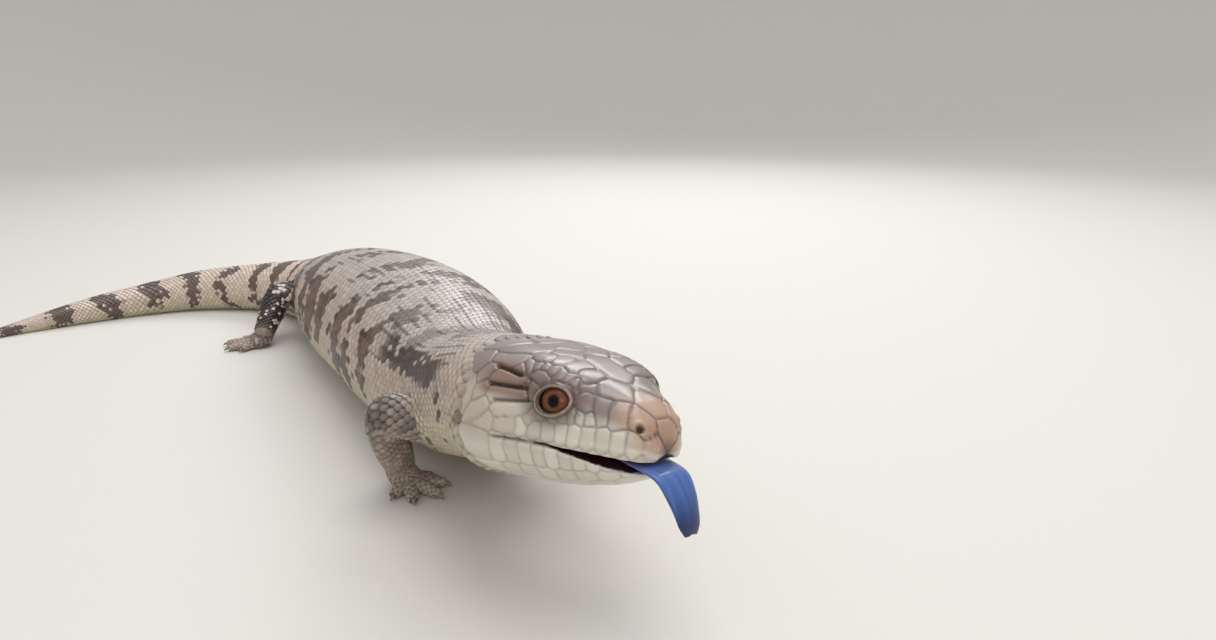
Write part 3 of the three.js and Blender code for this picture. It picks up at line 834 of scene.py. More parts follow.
points = points_of(skin)
behind, out, up = in_head(points)
lips = np.minimum(np.abs(up - lip_height(behind, 0)), np.abs(up - lip_height(behind, 1)))
weight = np.where(behind < MOUTH_OPEN + 1 * MM, 1 - smooth(0, 0.9 * MM, lips), 0)
for side in (-1, 1):
    ring, depth = opening_ring(points, side)
    lids = np.where(depth > 0, 1 - smooth(0.02, 0.22, np.abs(ring - 1)), 0)
    weight = np.maximum(weight, lids)
relax_points(skin, EDGE_STRENGTH * weight, EDGE_ROUNDS)
print("skin with mouth and eyes: %d points" % len(skin.data.vertices))

# %% [markdown]
# Every point of the skin must know where it is on the animal, to take the right marking. The nearest point
# of the body's rings gives its distance behind the snout and its angle from the middle of the back, and
# points nearer to a leg take their place on that leg instead.

# %% Where each skin point is on the animal
def nearest_samples(samples, points):
    """For each point the number of the nearest sample, and how far it is."""
    tree = KDTree(len(samples))
    for i, sample in enumerate(samples):
        tree.insert(sample, i)
    tree.balance()
    found = [tree.find(p)[1:] for p in points]
    return np.array([hit[0] for hit in found]), np.array([hit[1] for hit in found])


points = points_of(skin)
body_index, body_distance = nearest_samples(rings.reshape(-1, 3), points)
at_s = grid_s.ravel()[body_index]
at_angle = grid_angle.ravel()[body_index]
leg_samples = np.concatenate([limb.rings.reshape(-1, 3) for limb in limbs.values()])
leg_index, leg_distance = nearest_samples(leg_samples, points)
on_leg = (leg_distance + 0.3 * MM < body_distance) & (at_s > HEAD_END)
inside_mouth = (body_distance > 0.6 * MM) & (at_s < 32 * MM)
print("points on legs: %d, inside mouth and sockets: %d" % (on_leg.sum(), inside_mouth.sum()))

# %% [markdown]
# Scales lie in rings round the body. Each ring is turned by half a scale against the last, so that every
# scale covers the joint of the two before it, like tiles on a roof. The number in a ring stays the same
# along the trunk, as on the real animal, and drops at the tail.

# %% The scales' lattice
SCALES_ROUND = [(300, 38), (430, 24), (518, 16)]  # up to this distance, this many in a ring
RING_SAMPLES = 180
LENGTH_TO_WIDTH = 0.42  # ring spacing against the scale's width


def ring_table(s):
    """Angles at even steps of arc round the section at s, from the middle of the back, and its girth."""
    angle = math.pi / 2 + 2 * np.pi * np.arange(RING_SAMPLES + 1) / RING_SAMPLES
    ring = skin_point(np.full(RING_SAMPLES + 1, s), angle)
    arc = np.concatenate([[0], np.cumsum(np.linalg.norm(np.diff(ring, axis=0), axis=1))])
    return angle, arc / arc[-1], arc[-1]


def scales_round(s):
    return next(count for limit, count in SCALES_ROUND if s <= limit * MM)


ring_places, ring_counts, ring_widths, ring_angles = [], [], [], []
s = 40 * MM
while s < TOTAL_LENGTH - 2 * MM:
    angle, share, girth = ring_table(s)
    count = scales_round(s)
    half_turn = 0.5 * (len(ring_places) % 2)
    ring_places.append(s)
    ring_counts.append(count)
    ring_widths.append(girth / count)
    ring_angles.append(np.interp((np.arange(count) + half_turn) / count, share, angle))
    s += LENGTH_TO_WIDTH * girth / count
ring_places = np.array(ring_places)
print("rings of scales: %d, scales: %d" % (len(ring_places), sum(ring_counts)))


def start_of_scales(phi):
    """Where the small scales begin: behind the shields on the crown, sooner on the throat. phi in degrees."""
    phi = np.abs(phi)
    return (53 - 5 * smooth(40, 75, phi) - 5 * smooth(95, 140, phi)) * MM


# %% [markdown]
# The markings follow the animal in the photo. The crown is mauve grey and the snout warmer, the lips and
# chin pale. The back is grey fawn with irregular brown bands broken by pale scales, a dark patch runs
# along each side of the neck, the flanks turn to cream with a few dark flecks, the tail is pale pink with
# grey brown bands, and the legs darken from front to hind. One function gives the colour for a place, and
# both the skin and the scales use it, a scale at a time, so the two always agree.

# %% Colours and bands
MEAN_RADIUS = 22 * MM
TRUNK_BAND, TRUNK_BAND_AT = 25 * MM, 131 * MM  # spacing, and the middle of one band
TAIL_BAND, TAIL_BAND_AT = 23 * MM, 318 * MM


def linear(code):
    """An sRGB hex colour as linear red, green and blue."""
    channels = np.array([int(code[i:i + 2], 16) for i in (1, 3, 5)]) / 255
    return np.where(channels <= 0.04045, channels / 12.92, ((channels + 0.055) / 1.055) ** 2.4)


# groove is the painted shade in the grooves between the head's shields; black is both a marking and the
# painted shade in the head's creases, holes and mouth line and round the lids.
PALETTE = {
    "back": "#8F837C", "back_pale": "#B3A69C", "back_dark": "#655850", "fawn": "#B3A093", "pale": "#CFC2B4",
    "cream": "#B9B097", "belly": "#C2B8A0", "brown": "#6F5142", "umber": "#43322A", "black": "#211A17",
    "crown": "#7F706A", "snout": "#AC8B76", "temple": "#7A5D4E", "lid": "#634739", "lip": "#C6BFB3",
    "chin": "#CFC9BE", "groove": "#362C28", "mouth": "#3E1722", "tail": "#CFBBAD", "tail_band": "#64514A",
    "leg": "#7B6E64", "leg_dark": "#2C2420", "toe": "#A39384", "claw": "#8F8070",
    "iris": "#75452B", "iris_dark": "#43231A", "eye_rim": "#1B110D",
    "tongue": "#41609F", "tongue_tip": "#212C5C", "tongue_root": "#5C6C9E",
}
HUES = {name: linear(code) for name, code in PALETTE.items()}
print("colours:", len(HUES))


def mix(a, b, t):
    return a + (b - a) * np.asarray(t, float)[..., None]


def on_hide(s, phi):
    """A place on the unrolled hide in metres, for noise: phi is degrees from the middle of the back."""
    return np.stack([s, np.radians(phi) * MEAN_RADIUS, 0 * s], -1)


def band_value(s, phi):
    """Above 0 inside a dark band of the trunk or tail, with wandering edges."""
    spot = on_hide(s, phi)
    wander = 10 * MM * noise(spot, 30 * MM, 11) + 4 * MM * noise(spot, 10 * MM, 12)
    break_up = 0.85 * noise(spot, 13 * MM, 13)
    along_trunk = 2 * np.pi * (s + 1.3 * wander - TRUNK_BAND_AT) / TRUNK_BAND
    trunk = 0.8 * np.cos(along_trunk) - 0.05 + 1.5 * break_up
    trunk = trunk + 0.5 * noise(spot, 6 * MM, 14)
    along_tail = 2 * np.pi * (s + 0.5 * wander - TAIL_BAND_AT) / TAIL_BAND
    tail = np.cos(along_tail) - 0.30 + 0.7 * break_up
    return mix(trunk[..., None], tail[..., None], smooth(298 * MM, 306 * MM, s))[..., 0]


# %% [markdown]
# On the body the ground colour comes first, from the back down to the belly. The bands lie over it, and
# are broken where a scale's own draw lifts it out of the band, or puts it in. Some scales on a band's edge
# are black. Last come the flecks of the flank and the dark patch along the neck.

# %% Colours of the body
def ground_colour(away, on_back, tail):
    """Colour between the bands, by degrees away from the middle of the back."""
    ground = mix(HUES["back"], HUES["fawn"], smooth(20, 70, away))
    ground = mix(ground, HUES["back_pale"], on_back * 0.6)
    ground = mix(ground, HUES["cream"], 0.85 * smooth(80, 112, away))
    ground = mix(ground, HUES["belly"], smooth(120, 150, away))
    return mix(ground, mix(HUES["tail"], HUES["belly"], smooth(70, 140, away)), tail)


def band_colour(s, on_back, front, tail, grain):
    """Colour inside a band: browner on the flanks, greyer along the back and on the tail."""
    rear = smooth(150 * MM, 210 * MM, s)
    dark = mix(HUES["brown"], HUES["umber"], np.clip(grain * 1.6 - 0.4, 0, 1))
    dark = mix(dark, HUES["back_dark"], on_back * (1 - tail) * (0.55 + 0.45 * rear))
    dark = mix(dark, HUES["back"], on_back * front * 0.7)
    return mix(dark, HUES["tail_band"], tail * 0.85)


def add_flecks(colour, s, phi, tail):
    away = np.abs(phi)
    fleck = (lattice(np.round(s / (2.2 * MM)), np.round(phi / 9), 0, 31) > 0.94) * smooth(70, 95, away)
    return mix(colour, HUES["umber"], 0.8 * fleck * (1 - smooth(140, 160, away)) * (1 - tail))


def add_neck_patch(colour, s, phi, grain):
    """The dark patch runs back and up along the side of the neck."""
    spot = on_hide(s, phi)
    middle = 60 + (s - 90 * MM) / MM * -0.35 + 5 * noise(spot, 10 * MM, 41)
    patch = 1 - smooth(10, 16, np.abs(np.abs(phi) - middle))
    patch = patch * smooth(62 * MM, 72 * MM, s) * (1 - smooth(116 * MM, 128 * MM, s))
    dark = mix(HUES["black"], HUES["umber"], 0.5 * noise(spot, 5 * MM, 42) + 0.5)
    return mix(colour, dark, 0.93 * patch * (grain > 0.12))


def body_colour(s, phi, grain):
    """Colour of the hide at s and phi degrees from the middle of the back; grain is the scale's own draw."""
    s, phi, grain = np.broadcast_arrays(s, phi, grain)
    away = np.abs(phi)
    front = 1 - smooth(100 * MM, 150 * MM, s)
    tail = smooth(292 * MM, 312 * MM, s)
    on_back = 1 - smooth(35, 62, away)
    band = band_value(s, phi) + 1.1 * (grain - 0.5) - 1.5 * front * (1 - 0.75 * on_back)
    band = band - 1.7 * smooth(86, 118, away) * (1 - tail) - 0.9 * smooth(110, 150, away) * tail
    dark = band_colour(s, on_back, front, tail, grain)
    colour = mix(ground_colour(away, on_back, tail), dark, smooth(-0.05, 0.12, band))
    edge = bell(band - 0.12, 0.16) * (grain > 0.5) * (1 - 0.5 * tail) * (1 - 0.6 * on_back)
    colour = mix(colour, HUES["black"], 0.8 * edge)
    colour = add_flecks(colour, s, phi, tail)
    colour = add_neck_patch(colour, s, phi, grain)
    return colour * (0.88 + 0.24 * grain)[..., None]


# %% [markdown]
# The head's colours follow its shields, and each shield is a little lighter or darker than the next. The
# hind legs are nearly black with pale scales here and there, the front ones grey brown, and all the toes
# paler.

# %% Colours of the head and the legs
def head_colour(s, up, shield, groove, dark):
    """Colour of the head; up is degrees above the side, groove and dark are 1 in a seam and in a crease or
    hole, and both are painted shade.
    """
    own = lattice(shield, 0, 0, 51)
    crown = mix(HUES["crown"], HUES["snout"], 1 - smooth(4 * MM, 13 * MM, s))
    cheek = mix(HUES["lip"], HUES["fawn"], smooth(18 * MM, 46 * MM, s) * 0.6)
    colour = mix(cheek, crown, smooth(18, 36, up))
    temple = smooth(27 * MM, 31 * MM, s) * (1 - smooth(41 * MM, 46 * MM, s))
    temple = temple * smooth(15, 22, up) * (1 - smooth(44, 54, up))
    colour = mix(colour, HUES["temple"], 0.85 * temple)
    colour = mix(colour, HUES["snout"], 0.8 * (1 - smooth(1.5 * MM, 7 * MM, s)) * smooth(2, 12, up))
    colour = mix(colour, HUES["chin"], 1 - smooth(-14, 2, up))
    # Painted shade: the seams between shields are darkened, more on the crown, and the creases, the mouth
    # line, the nostrils and the ears are painted nearly black.
    seam = mix(HUES["groove"], HUES["temple"], 1 - smooth(-5, 25, up))
    colour = mix(colour * (0.90 + 0.2 * own)[:, None], seam, (0.35 + 0.4 * smooth(0, 40, up)) * groove)
    return mix(colour, HUES["black"], 0.9 * np.clip(dark, 0, 1))


def leg_colour(name, t, phi, grain):
    """Colour of a leg; t runs from 0 in the body to 1 at the ankle and beyond, phi from its upper side."""
    hind = name.startswith("hind")
    base = HUES["leg_dark"] if hind else mix(HUES["leg"], HUES["umber"], 0.25)
    spotted = (grain > 0.80) if hind else (grain > 0.6)
    colour = mix(base, HUES["pale"] if hind else HUES["fawn"], spotted * (0.8 if hind else 0.3))
    colour = mix(colour, HUES["fawn"], 0.7 * smooth(95, 140, np.abs(phi)))
    return mix(colour, HUES["toe"], smooth(0.90, 1.08, t)) * (0.85 + 0.3 * grain)[..., None]


# %% [markdown]
# The skin carries its colour and its gloss as values on its points. Under the scales it is the same
# marking, only darker, since no light reaches between them.

# %% Colour the skin
UNDER_SCALES, UNDER_LEG_SCALES = 0.55, 0.6  # how light the skin is in the shade of its scales


def to_phi(angle):
    """Degrees from the middle of the back, positive on the animal's right."""
    return (np.degrees(angle) - 90 + 180) % 360 - 180


def store(piece, name, values):
    """Keeps a value or a colour for each point of a piece, under a name that its material reads."""
    kind = "FLOAT_COLOR" if values.ndim == 2 else "FLOAT"
    layer = piece.data.attributes.new(name, kind, "POINT")
    if values.ndim == 2:
        values = np.concatenate([values, np.ones((len(values), 1))], 1)
        layer.data.foreach_set("color", values.astype(np.float32).ravel())
    else:
        layer.data.foreach_set("value", values.astype(np.float32))


def cell_grain(s, phi):
    """The draw of the scale that covers a place, so that skin and scale match."""
    ring = np.searchsorted(ring_places, s)
    ring = np.clip(ring, 0, len(ring_places) - 1)
    count = np.array(ring_counts)[ring]
    return lattice(ring, np.round(phi / 360 * count - 0.5 * (ring % 2)) % count, 0, 61)


def colour_body(phi):
    """Head shields in front, and behind them the marking of the scales, darker as they shade it."""
    head_count = int(np.count_nonzero(head_rings)) * len(angles)
    shields = np.zeros(grid_s.size, int)
    grooves, painted_shades = np.zeros(grid_s.size), np.zeros(grid_s.size)
    shields[:head_count], grooves[:head_count], painted_shades[:head_count] = head_shield, head_groove, head_painted_shade
    under = body_colour(at_s, phi, cell_grain(at_s, phi)) * UNDER_SCALES
    near = body_index
    crown = head_colour(at_s, 90 - np.abs(phi), shields[near], grooves[near], painted_shades[near])
    return mix(crown, under, smooth(0, 2 * MM, at_s - start_of_scales(phi)))


def colour_legs(tint):
    per_leg = LEG_RINGS * LEG_SIDES
    leg_number, on_ring = np.divmod(leg_index, per_leg)
    leg_t = np.linspace(0, 1, LEG_RINGS)[on_ring // LEG_SIDES]
    leg_phi = to_phi(2 * np.pi * (on_ring % LEG_SIDES) / LEG_SIDES + np.pi / 2)
    for number, name in enumerate(LEGS):
        mine = on_leg & (leg_number == number)
        beyond = leg_t[mine] + 0.1 * (leg_t[mine] > 0.99)
        tint[mine] = leg_colour(name, beyond, leg_phi[mine], np.full(mine.sum(), 0.5)) * UNDER_LEG_SCALES
    return tint


def colour_lids(tint, side):
    """Small dark lid scales, a pale rim to the opening, and a line of painted shade on each side of the rim,
    in the fold and at the edge of the opening.
    """
    ring, depth = opening_ring(points, side)
    near = bell(ring, 2.1, 6) * (depth > 0) * (at_s < 45 * MM)
    rim = bell(ring - 1.19, 0.07) * (depth > 0)
    line = 0.6 * bell(ring - 1.36, 0.08) + bell(ring - 1.02, 0.11)
    mottled = HUES["lid"] * (0.85 + 0.3 * noise(points, 0.8 * MM, 92))[:, None]
    tint = mix(tint, mottled, 0.85 * near)
    tint = mix(tint, HUES["fawn"], 0.75 * rim * near)
    return mix(tint, HUES["black"], 0.85 * np.clip(line, 0, 1) * near)


phi = to_phi(at_angle)
tint = colour_legs(colour_body(phi))
tint = np.where(inside_mouth[:, None], HUES["mouth"], tint)
for side in (-1, 1):
    tint = colour_lids(tint, side)
store(skin, "tint", tint)
store(skin, "shine", np.where(at_s < start_of_scales(phi), 1.0, 0.3))
print("skin coloured")

# %% [markdown]
# A scale is a thin rounded tile. Its front is tucked under the scales before it, its rounded rear edge
# stands free, and it arches a little across. One tile is described on a small grid and then laid at every
# place of the lattice: each of its points drops to the nearest point of the skin and rises by its height.

# %% The shape of one scale
ALONG = np.array([0, 0.30, 0.44, 0.70, 0.88, 1.0])
HALF_WIDTH = np.array([0.75, 1.0, 1.0, 0.90, 0.64, 0.24])
ACROSS = np.array([-1, -0.5, 0, 0.5, 1])
# The tile's colour carries painted light: painted shade at the front and along the sides, and a painted
# highlight on the rear rim.
TILE_SHADE_AND_HIGHLIGHT = np.array([0.10, 0.16, 0.62, 1.04, 1.14, 1.02])  # the front is in the shade of the scales before
BARE_SHADE = 0.8  # of a front that nothing lies over
# EDGE_SHADE is the painted shade along a tile's sides, which makes it look rounded.
EDGE_SHADE, STREAK_STRENGTH = 0.62, 0.85
PATCH = 0.003  # side of a scale's patch on the unwrap
FRONT_DEPTH, REAR_HEIGHT, ARCH, THICKNESS = -0.48 * MM, 0.56 * MM, 0.32 * MM, 0.42 * MM


def tile():
    """Points of one tile as along 0 to 1, across -1 to 1 and 1 on top or 0 below, with its faces."""
    rows, columns = len(ALONG), len(ACROSS)
    top = [(u, v * w, 1) for u, w in zip(ALONG, HALF_WIDTH) for v in ACROSS]
    faces = [(r * columns + c, r * columns + c + 1, (r + 1) * columns + c + 1, (r + 1) * columns + c)
             for r in range(rows - 1) for c in range(columns - 1)]
    rim = list(range(columns))
    rim += [r * columns + columns - 1 for r in range(1, rows)]
    rim += [(rows - 1) * columns + c for c in range(columns - 2, -1, -1)]
    rim += [r * columns for r in range(rows - 2, 0, -1)]
    below = [(top[i][0], top[i][1], 0) for i in rim]
    base = len(top)
    for i in range(len(rim)):
        j = (i + 1) % len(rim)
        faces.append((rim[j], rim[i], base + i, base + j))
    faces.append(tuple(range(base, base + len(rim))))
    return np.array(top + below), faces


TILE_POINTS, TILE_FACES = tile()
print("one scale: %d points, %d faces" % (len(TILE_POINTS), len(TILE_FACES)))


# %% [markdown]
# All the tiles of a region go into one mesh, built straight from arrays, since thousands of separate
# objects would be slow. Every corner of a tile is dropped on the skin, so that it bends with the body.
# Each tile has a small patch of its own on the unwrap, at its root's place, and its own colour, with painted
# shade at the front and along the edges, a painted highlight on the rear rim, and a black streak on one half
# where the marking has one.

# %% Laying scales
def place_tiles(tiles, surface):
    """The corners of every tile, on the skin and raised from it."""
    count, corners = len(tiles["centre"]), len(TILE_POINTS)
    up = tiles["up"]
    rear = unit(tiles["rear"] - up * np.sum(tiles["rear"] * up, -1, keepdims=True))
    side = np.cross(up, rear)
    u, v, top = TILE_POINTS.T
    flat = (tiles["centre"][:, None]
            + rear[:, None] * ((u - 0.45)[None, :, None] * tiles["length"][:, None, None])
            + side[:, None] * (v[None, :, None] * (tiles["width"] / 2)[:, None, None])).reshape(-1, 3)
    found = [surface.find_nearest(Vector(p)) for p in flat]
    spot = np.array([hit[0] for hit in found])
    out = np.array([hit[1] for hit in found])
    rise = FRONT_DEPTH + (REAR_HEIGHT - FRONT_DEPTH) * u + ARCH * (1 - v**2) - THICKNESS * (1 - top)
    rise = np.broadcast_to(rise, (count, corners)) * tiles["height"][:, None]
    placed = spot + out * rise.reshape(-1, 1)
    placed[:, 2] = np.maximum(placed[:, 2], np.where(np.tile(top, count) > 0, 0.02, 0.08) * MM)
    return placed


def tile_tint(tiles):
    u, v, _ = TILE_POINTS.T
    # Painted shade at the front and the sides of each tile, and a painted highlight on its rear rim.
    shade = np.interp(u, ALONG, TILE_SHADE_AND_HIGHLIGHT) * (1 - EDGE_SHADE * v**2 * (u < 0.9))
    shade = np.where(tiles["first"][:, None] & (u < 0.5), BARE_SHADE, shade)
    tint = tiles["colour"][:, None] * shade[..., None]
    off = np.abs(v[None] - 0.5 * np.sign(tiles["streak"])[:, None])
    line = np.clip(1 - 2 * off, 0, 1) * np.abs(tiles["streak"])[:, None] * smooth(0.25, 0.4, u)[None]
    return mix(tint, HUES["black"], STREAK_STRENGTH * line).reshape(-1, 3)


def lay_tiles(name, tiles, surface):
    """Lays one tile at each centre, its free edge towards rear, and joins them all in one mesh."""
    placed = place_tiles(tiles, surface)
    count, corners = len(tiles["centre"]), len(TILE_POINTS)
    loops = np.array([corner for face in TILE_FACES for corner in face])
    all_loops = (loops[None] + corners * np.arange(count)[:, None]).ravel()
    all_sizes = np.tile([len(face) for face in TILE_FACES], count)
    mesh = bpy.data.meshes.new(name)
    mesh.vertices.add(len(placed))
    mesh.vertices.foreach_set("co", placed.ravel())
    mesh.loops.add(len(all_loops))
    mesh.loops.foreach_set("vertex_index", all_loops)
    mesh.polygons.add(len(all_sizes))
    mesh.polygons.foreach_set("loop_start", np.concatenate([[0], np.cumsum(all_sizes)[:-1]]))
    mesh.update(calc_edges=True)
    mesh.validate()
    mesh.polygons.foreach_set("use_smooth", np.ones(len(all_sizes), bool))
    u, v, _ = TILE_POINTS.T
    spread = tiles["uv"][:, None] + np.stack([PATCH / 2 * v, PATCH * (u - 0.5)], -1)[None]
    mesh.uv_layers.new(name="OFBake").data.foreach_set("uv", spread.reshape(-1, 2)[all_loops].ravel())
    piece = bpy.data.objects.new(name, mesh)
    bpy.context.scene.collection.objects.link(piece)
    store(piece, "tint", tile_tint(tiles))
    print("%s: %d scales" % (name, count))
    return piece


# %% [markdown]
# On the body, each ring of the lattice gives a ring of scales. A scale's directions come from the body's
# own curve: rear along it, up out of it. Those on the nape and the fore-back carry the dark streaks that
# run in broken lines along these animals, on alternate halves so that a line passes between two scales.

# %% Lay the body's scales
skin_surface = surface_of(skin)
TRUNK_PIECES = {  # from and to in mm behind the snout, and the slot
    "scales_neck": (0, 120, "hide"), "scales_front": (120, 190, "hide"), "scales_rear": (190, 262, "hide"),
    "scales_tail_base": (262, 330, "tail"), "scales_tail_middle": (330, 410, "tail"),
    "scales_tail_tip": (410, 520, "tail"),
}
FULL_SCALE = 3.5 * MM  # a scale this wide has the full height
TILE_LENGTH, LEG_TILE_LENGTH, TILE_WIDTH = 1.30, 1.35, 1.04  # against a scale's share of its ring
UNWRAP_FROM, UNWRAP_SPAN = 0.33, 0.30  # across the unwrap, for the body


def joined(parts):
    return {key: np.concatenate([part[key] for part in parts]) for key in parts[0]}


def ring_of_scales(number, s, width, turn):
    """Where the scales of a ring lie, which way they point, and their place on the unwrap."""
    column = np.flatnonzero(s > start_of_scales(to_phi(turn)))
    turn = turn[column]
    phi = to_phi(turn)
    here = skin_point(np.full(len(turn), s), turn)
    rear = unit(here - skin_point(np.full(len(turn), s - 0.5 * MM), turn))
    beside = skin_point(np.full(len(turn), s), turn + 0.01)
    up = unit(np.cross(beside - here, rear))
    up = np.where(np.sum(up * (here - spine_point(s)), -1, keepdims=True) < 0, -up, up)
    along_unwrap = np.full(len(turn), 0.02 + 0.96 * s / TOTAL_LENGTH)
    return {"centre": here, "rear": rear, "up": up, "width": np.full(len(turn), width),
            "s": np.full(len(turn), s), "phi": phi,
            "uv": np.stack([UNWRAP_FROM + UNWRAP_SPAN * phi / 180, along_unwrap], -1),
            "grain": lattice(number, column, 0, 61), "column": column, "ring": np.full(len(turn), number)}


def streaks(scales):
    """1 or -1 where a scale has a streak on one half or the other, and 0 where it has none."""
    s, away, ring = scales["s"], np.abs(scales["phi"]), scales["ring"]
    nape = (away < 65) & (s > 62 * MM) & (s < 140 * MM)
    light = np.abs(band_value(s, scales["phi"])) < 0.7
    back = (away < 80) & (s >= 140 * MM) & (s < 300 * MM) & light
    dashes = lattice(scales["column"], ring // 6, 0, 62)
    lined = (nape & (dashes > 0.5)) | (back & (dashes > 0.55))
    return lined * np.where(ring % 2 == 0, 1.0, -1.0)


scales = joined([ring_of_scales(number, *ring)
                 for number, ring in enumerate(zip(ring_places, ring_widths, ring_angles))])
off_skin = np.array([skin_surface.find_nearest(Vector(p))[3] for p in scales["centre"]])
kept = (off_skin <= 1.2 * MM) & (scales["centre"][:, 2] > -0.2 * MM)
scales = {key: values[kept] for key, values in scales.items()}
scales["colour"] = body_colour(scales["s"], scales["phi"], scales["grain"])
scales["streak"] = streaks(scales)
scales["first"] = scales["s"] < start_of_scales(scales["phi"]) + 0.9 * scales["width"]
scales["length"] = TILE_LENGTH * scales["width"] * (0.95 + 0.1 * scales["grain"])
scales["height"] = np.clip(scales["width"] / FULL_SCALE, 0.25, 1.0)
scales["width"] = TILE_WIDTH * scales["width"]
coat_pieces, coat_slots = {}, {}
for name, (low, high, slot) in TRUNK_PIECES.items():
    mine = (scales["s"] >= low * MM) & (scales["s"] < high * MM)
    region = {key: values[mine] for key, values in scales.items()}
    coat_pieces[name] = lay_tiles(name, region, skin_surface)
    coat_slots[name] = slot

# %% [markdown]
# The legs have smaller, rounder scales that run down to the foot. The palm has little plates, and each toe
# a row of narrow ones round it, down to the claw.

# %% Lay the scales of legs and feet
LEG_ROUND, PALM_ROUND, TOE_ROUND = 14, 11, 5
LEG_HEIGHT, PALM_HEIGHT, TOE_HEIGHT = 0.85, 0.45, 0.32
PALM_T, TOE_T = 1.0, 1.1  # where the palm and the toes are in leg_colour
LEG_PITCH = 0.46  # ring spacing against the scale's width
Area = namedtuple("Area", "u u_span v v_span")  # a rectangle of the unwrap


def interpolate(values, share, at):
    return np.array([np.interp(at, share, values[:, i]) for i in range(3)])


def scales_on_tube(limb, round_count, first, last, number, area):
    """Centres, directions and widths for rings of scales along a tube, with their place on the unwrap."""
    length = np.concatenate([[0], np.cumsum(np.linalg.norm(np.diff(limb.path, axis=0), axis=1))])
    share = length / length[-1]
    radius = np.linalg.norm(limb.rings - limb.path[:, None], axis=-1).mean(1)
    parts = []
    at = first
    while at < last:
        middle = interpolate(limb.path, share, at)
        rear, side, up = (unit(interpolate(way, share, at)) for way in (limb.along, limb.across, limb.third))
        reach = float(np.interp(at, share, radius))
        turn = 2 * np.pi * (np.arange(round_count) + 0.5 * (len(parts) % 2)) / round_count
        outward = side * np.cos(turn)[:, None] + up * np.sin(turn)[:, None]
        width = 2 * np.pi * reach / round_count
        along_unwrap = np.full(round_count, area.v + area.v_span * at)
        parts.append({
            "centre": middle + outward * reach, "rear": np.tile(rear, (round_count, 1)), "up": outward,
            "width": np.full(round_count, width), "t": np.full(round_count, at),
            "phi": np.degrees(np.arccos(np.clip(outward[:, 2], -1, 1))),
            "uv": np.stack([area.u + area.u_span * turn / (2 * np.pi), along_unwrap], -1),
            "grain": lattice(len(parts), np.arange(round_count), number, 71),
        })
        at += LEG_PITCH * width / length[-1]
    return joined(parts)


def with_height(part, height, t=None):
    """Gives all the scales of a part one height, and one place along the leg where t says so."""
    part["height"] = np.full(len(part["t"]), height)
    if t is not None:
        part["t"] = np.full(len(part["t"]), t)
    return part


def leg_scales(name, number):
    """The scales of the leg, the palm and the toes that lie on the skin and clear of the floor."""
    u_from = 0.68 + 0.078 * number
    toes, palm = foot_lines(LEGS[name])
    leg_area, palm_area = Area(u_from, 0.066, 0.02, 0.5), Area(u_from, 0.066, 0.55, 0.15)
    parts = [with_height(scales_on_tube(limbs[name], LEG_ROUND, 0.12, 0.98, number, leg_area), LEG_HEIGHT)]
    row = scales_on_tube(palm_tube(palm), PALM_ROUND, 0.10, 0.98, 10 + number, palm_area)
    parts.append(with_height(row, PALM_HEIGHT, PALM_T))
    for toe_number, (toe, _) in enumerate(toes):
        toe_area = Area(u_from + 0.0135 * toe_number, 0.012, 0.73, 0.2)
        draw = 20 + 5 * number + toe_number
        row = scales_on_tube(toe_tube(toe), TOE_ROUND, 0.22, 0.93, draw, toe_area)
        parts.append(with_height(row, TOE_HEIGHT, TOE_T))
    part = joined(parts)
    away = np.array([skin_surface.find_nearest(Vector(p))[3] for p in part["centre"]])
    keep = (away < 1.5 * MM) & (part["centre"][:, 2] > 0.5 * MM)
    return {key: values[keep] for key, values in part.items()}


for number, leg_name in enumerate(LEGS):
    part = leg_scales(leg_name, number)
    part["colour"] = leg_colour(leg_name, part["t"], part["phi"], part["grain"])
    part["length"] = LEG_TILE_LENGTH * part["width"]
    part["width"] = TILE_WIDTH * part["width"]
    part["streak"] = np.zeros(len(part["t"]))
    part["first"] = np.zeros(len(part["t"]), bool)
    name = "scales_" + leg_name
    coat_pieces[name] = lay_tiles(name, part, skin_surface)
    coat_slots[name] = "legs"

# %% [markdown]
# The eye is a wet ball. The pupil is a round dark hole, the iris red brown with a paler edge near it, and
# the rim dark. The ball is built round its own line of sight, so that the rings of its mesh are the rings
# of the iris, and a clear bulge over the iris takes the sharp highlight.

# %% Eyes
PUPIL, IRIS = 14.5, 52.0  # degrees from the line of sight
EYE_SIDES = 72
CORNEA_RISE, CORNEA_REACH = 0.22 * MM, 30  # height, and degrees from the line of sight


def eye_colour(degrees, angle):
    """Colour at degrees from the line of sight and angle round it, with fine fibres in the iris."""
    fibre = noise(np.stack([np.cos(angle) * 9, np.sin(angle) * 9, degrees / 14], -1), 1.0, 81)
    colour = mix(HUES["iris_dark"], HUES["iris"], smooth(PUPIL, PUPIL + 7, degrees) * (0.75 + 0.25 * fibre))
    colour = mix(colour, HUES["eye_rim"], smooth(IRIS - 9, IRIS + 2, degrees))
    pupil = PUPIL * (1 + 0.12 * np.cos(2 * angle + np.pi))
    return mix(HUES["eye_rim"] * 0.25, colour, smooth(-0.8, 0.8, degrees - pupil))


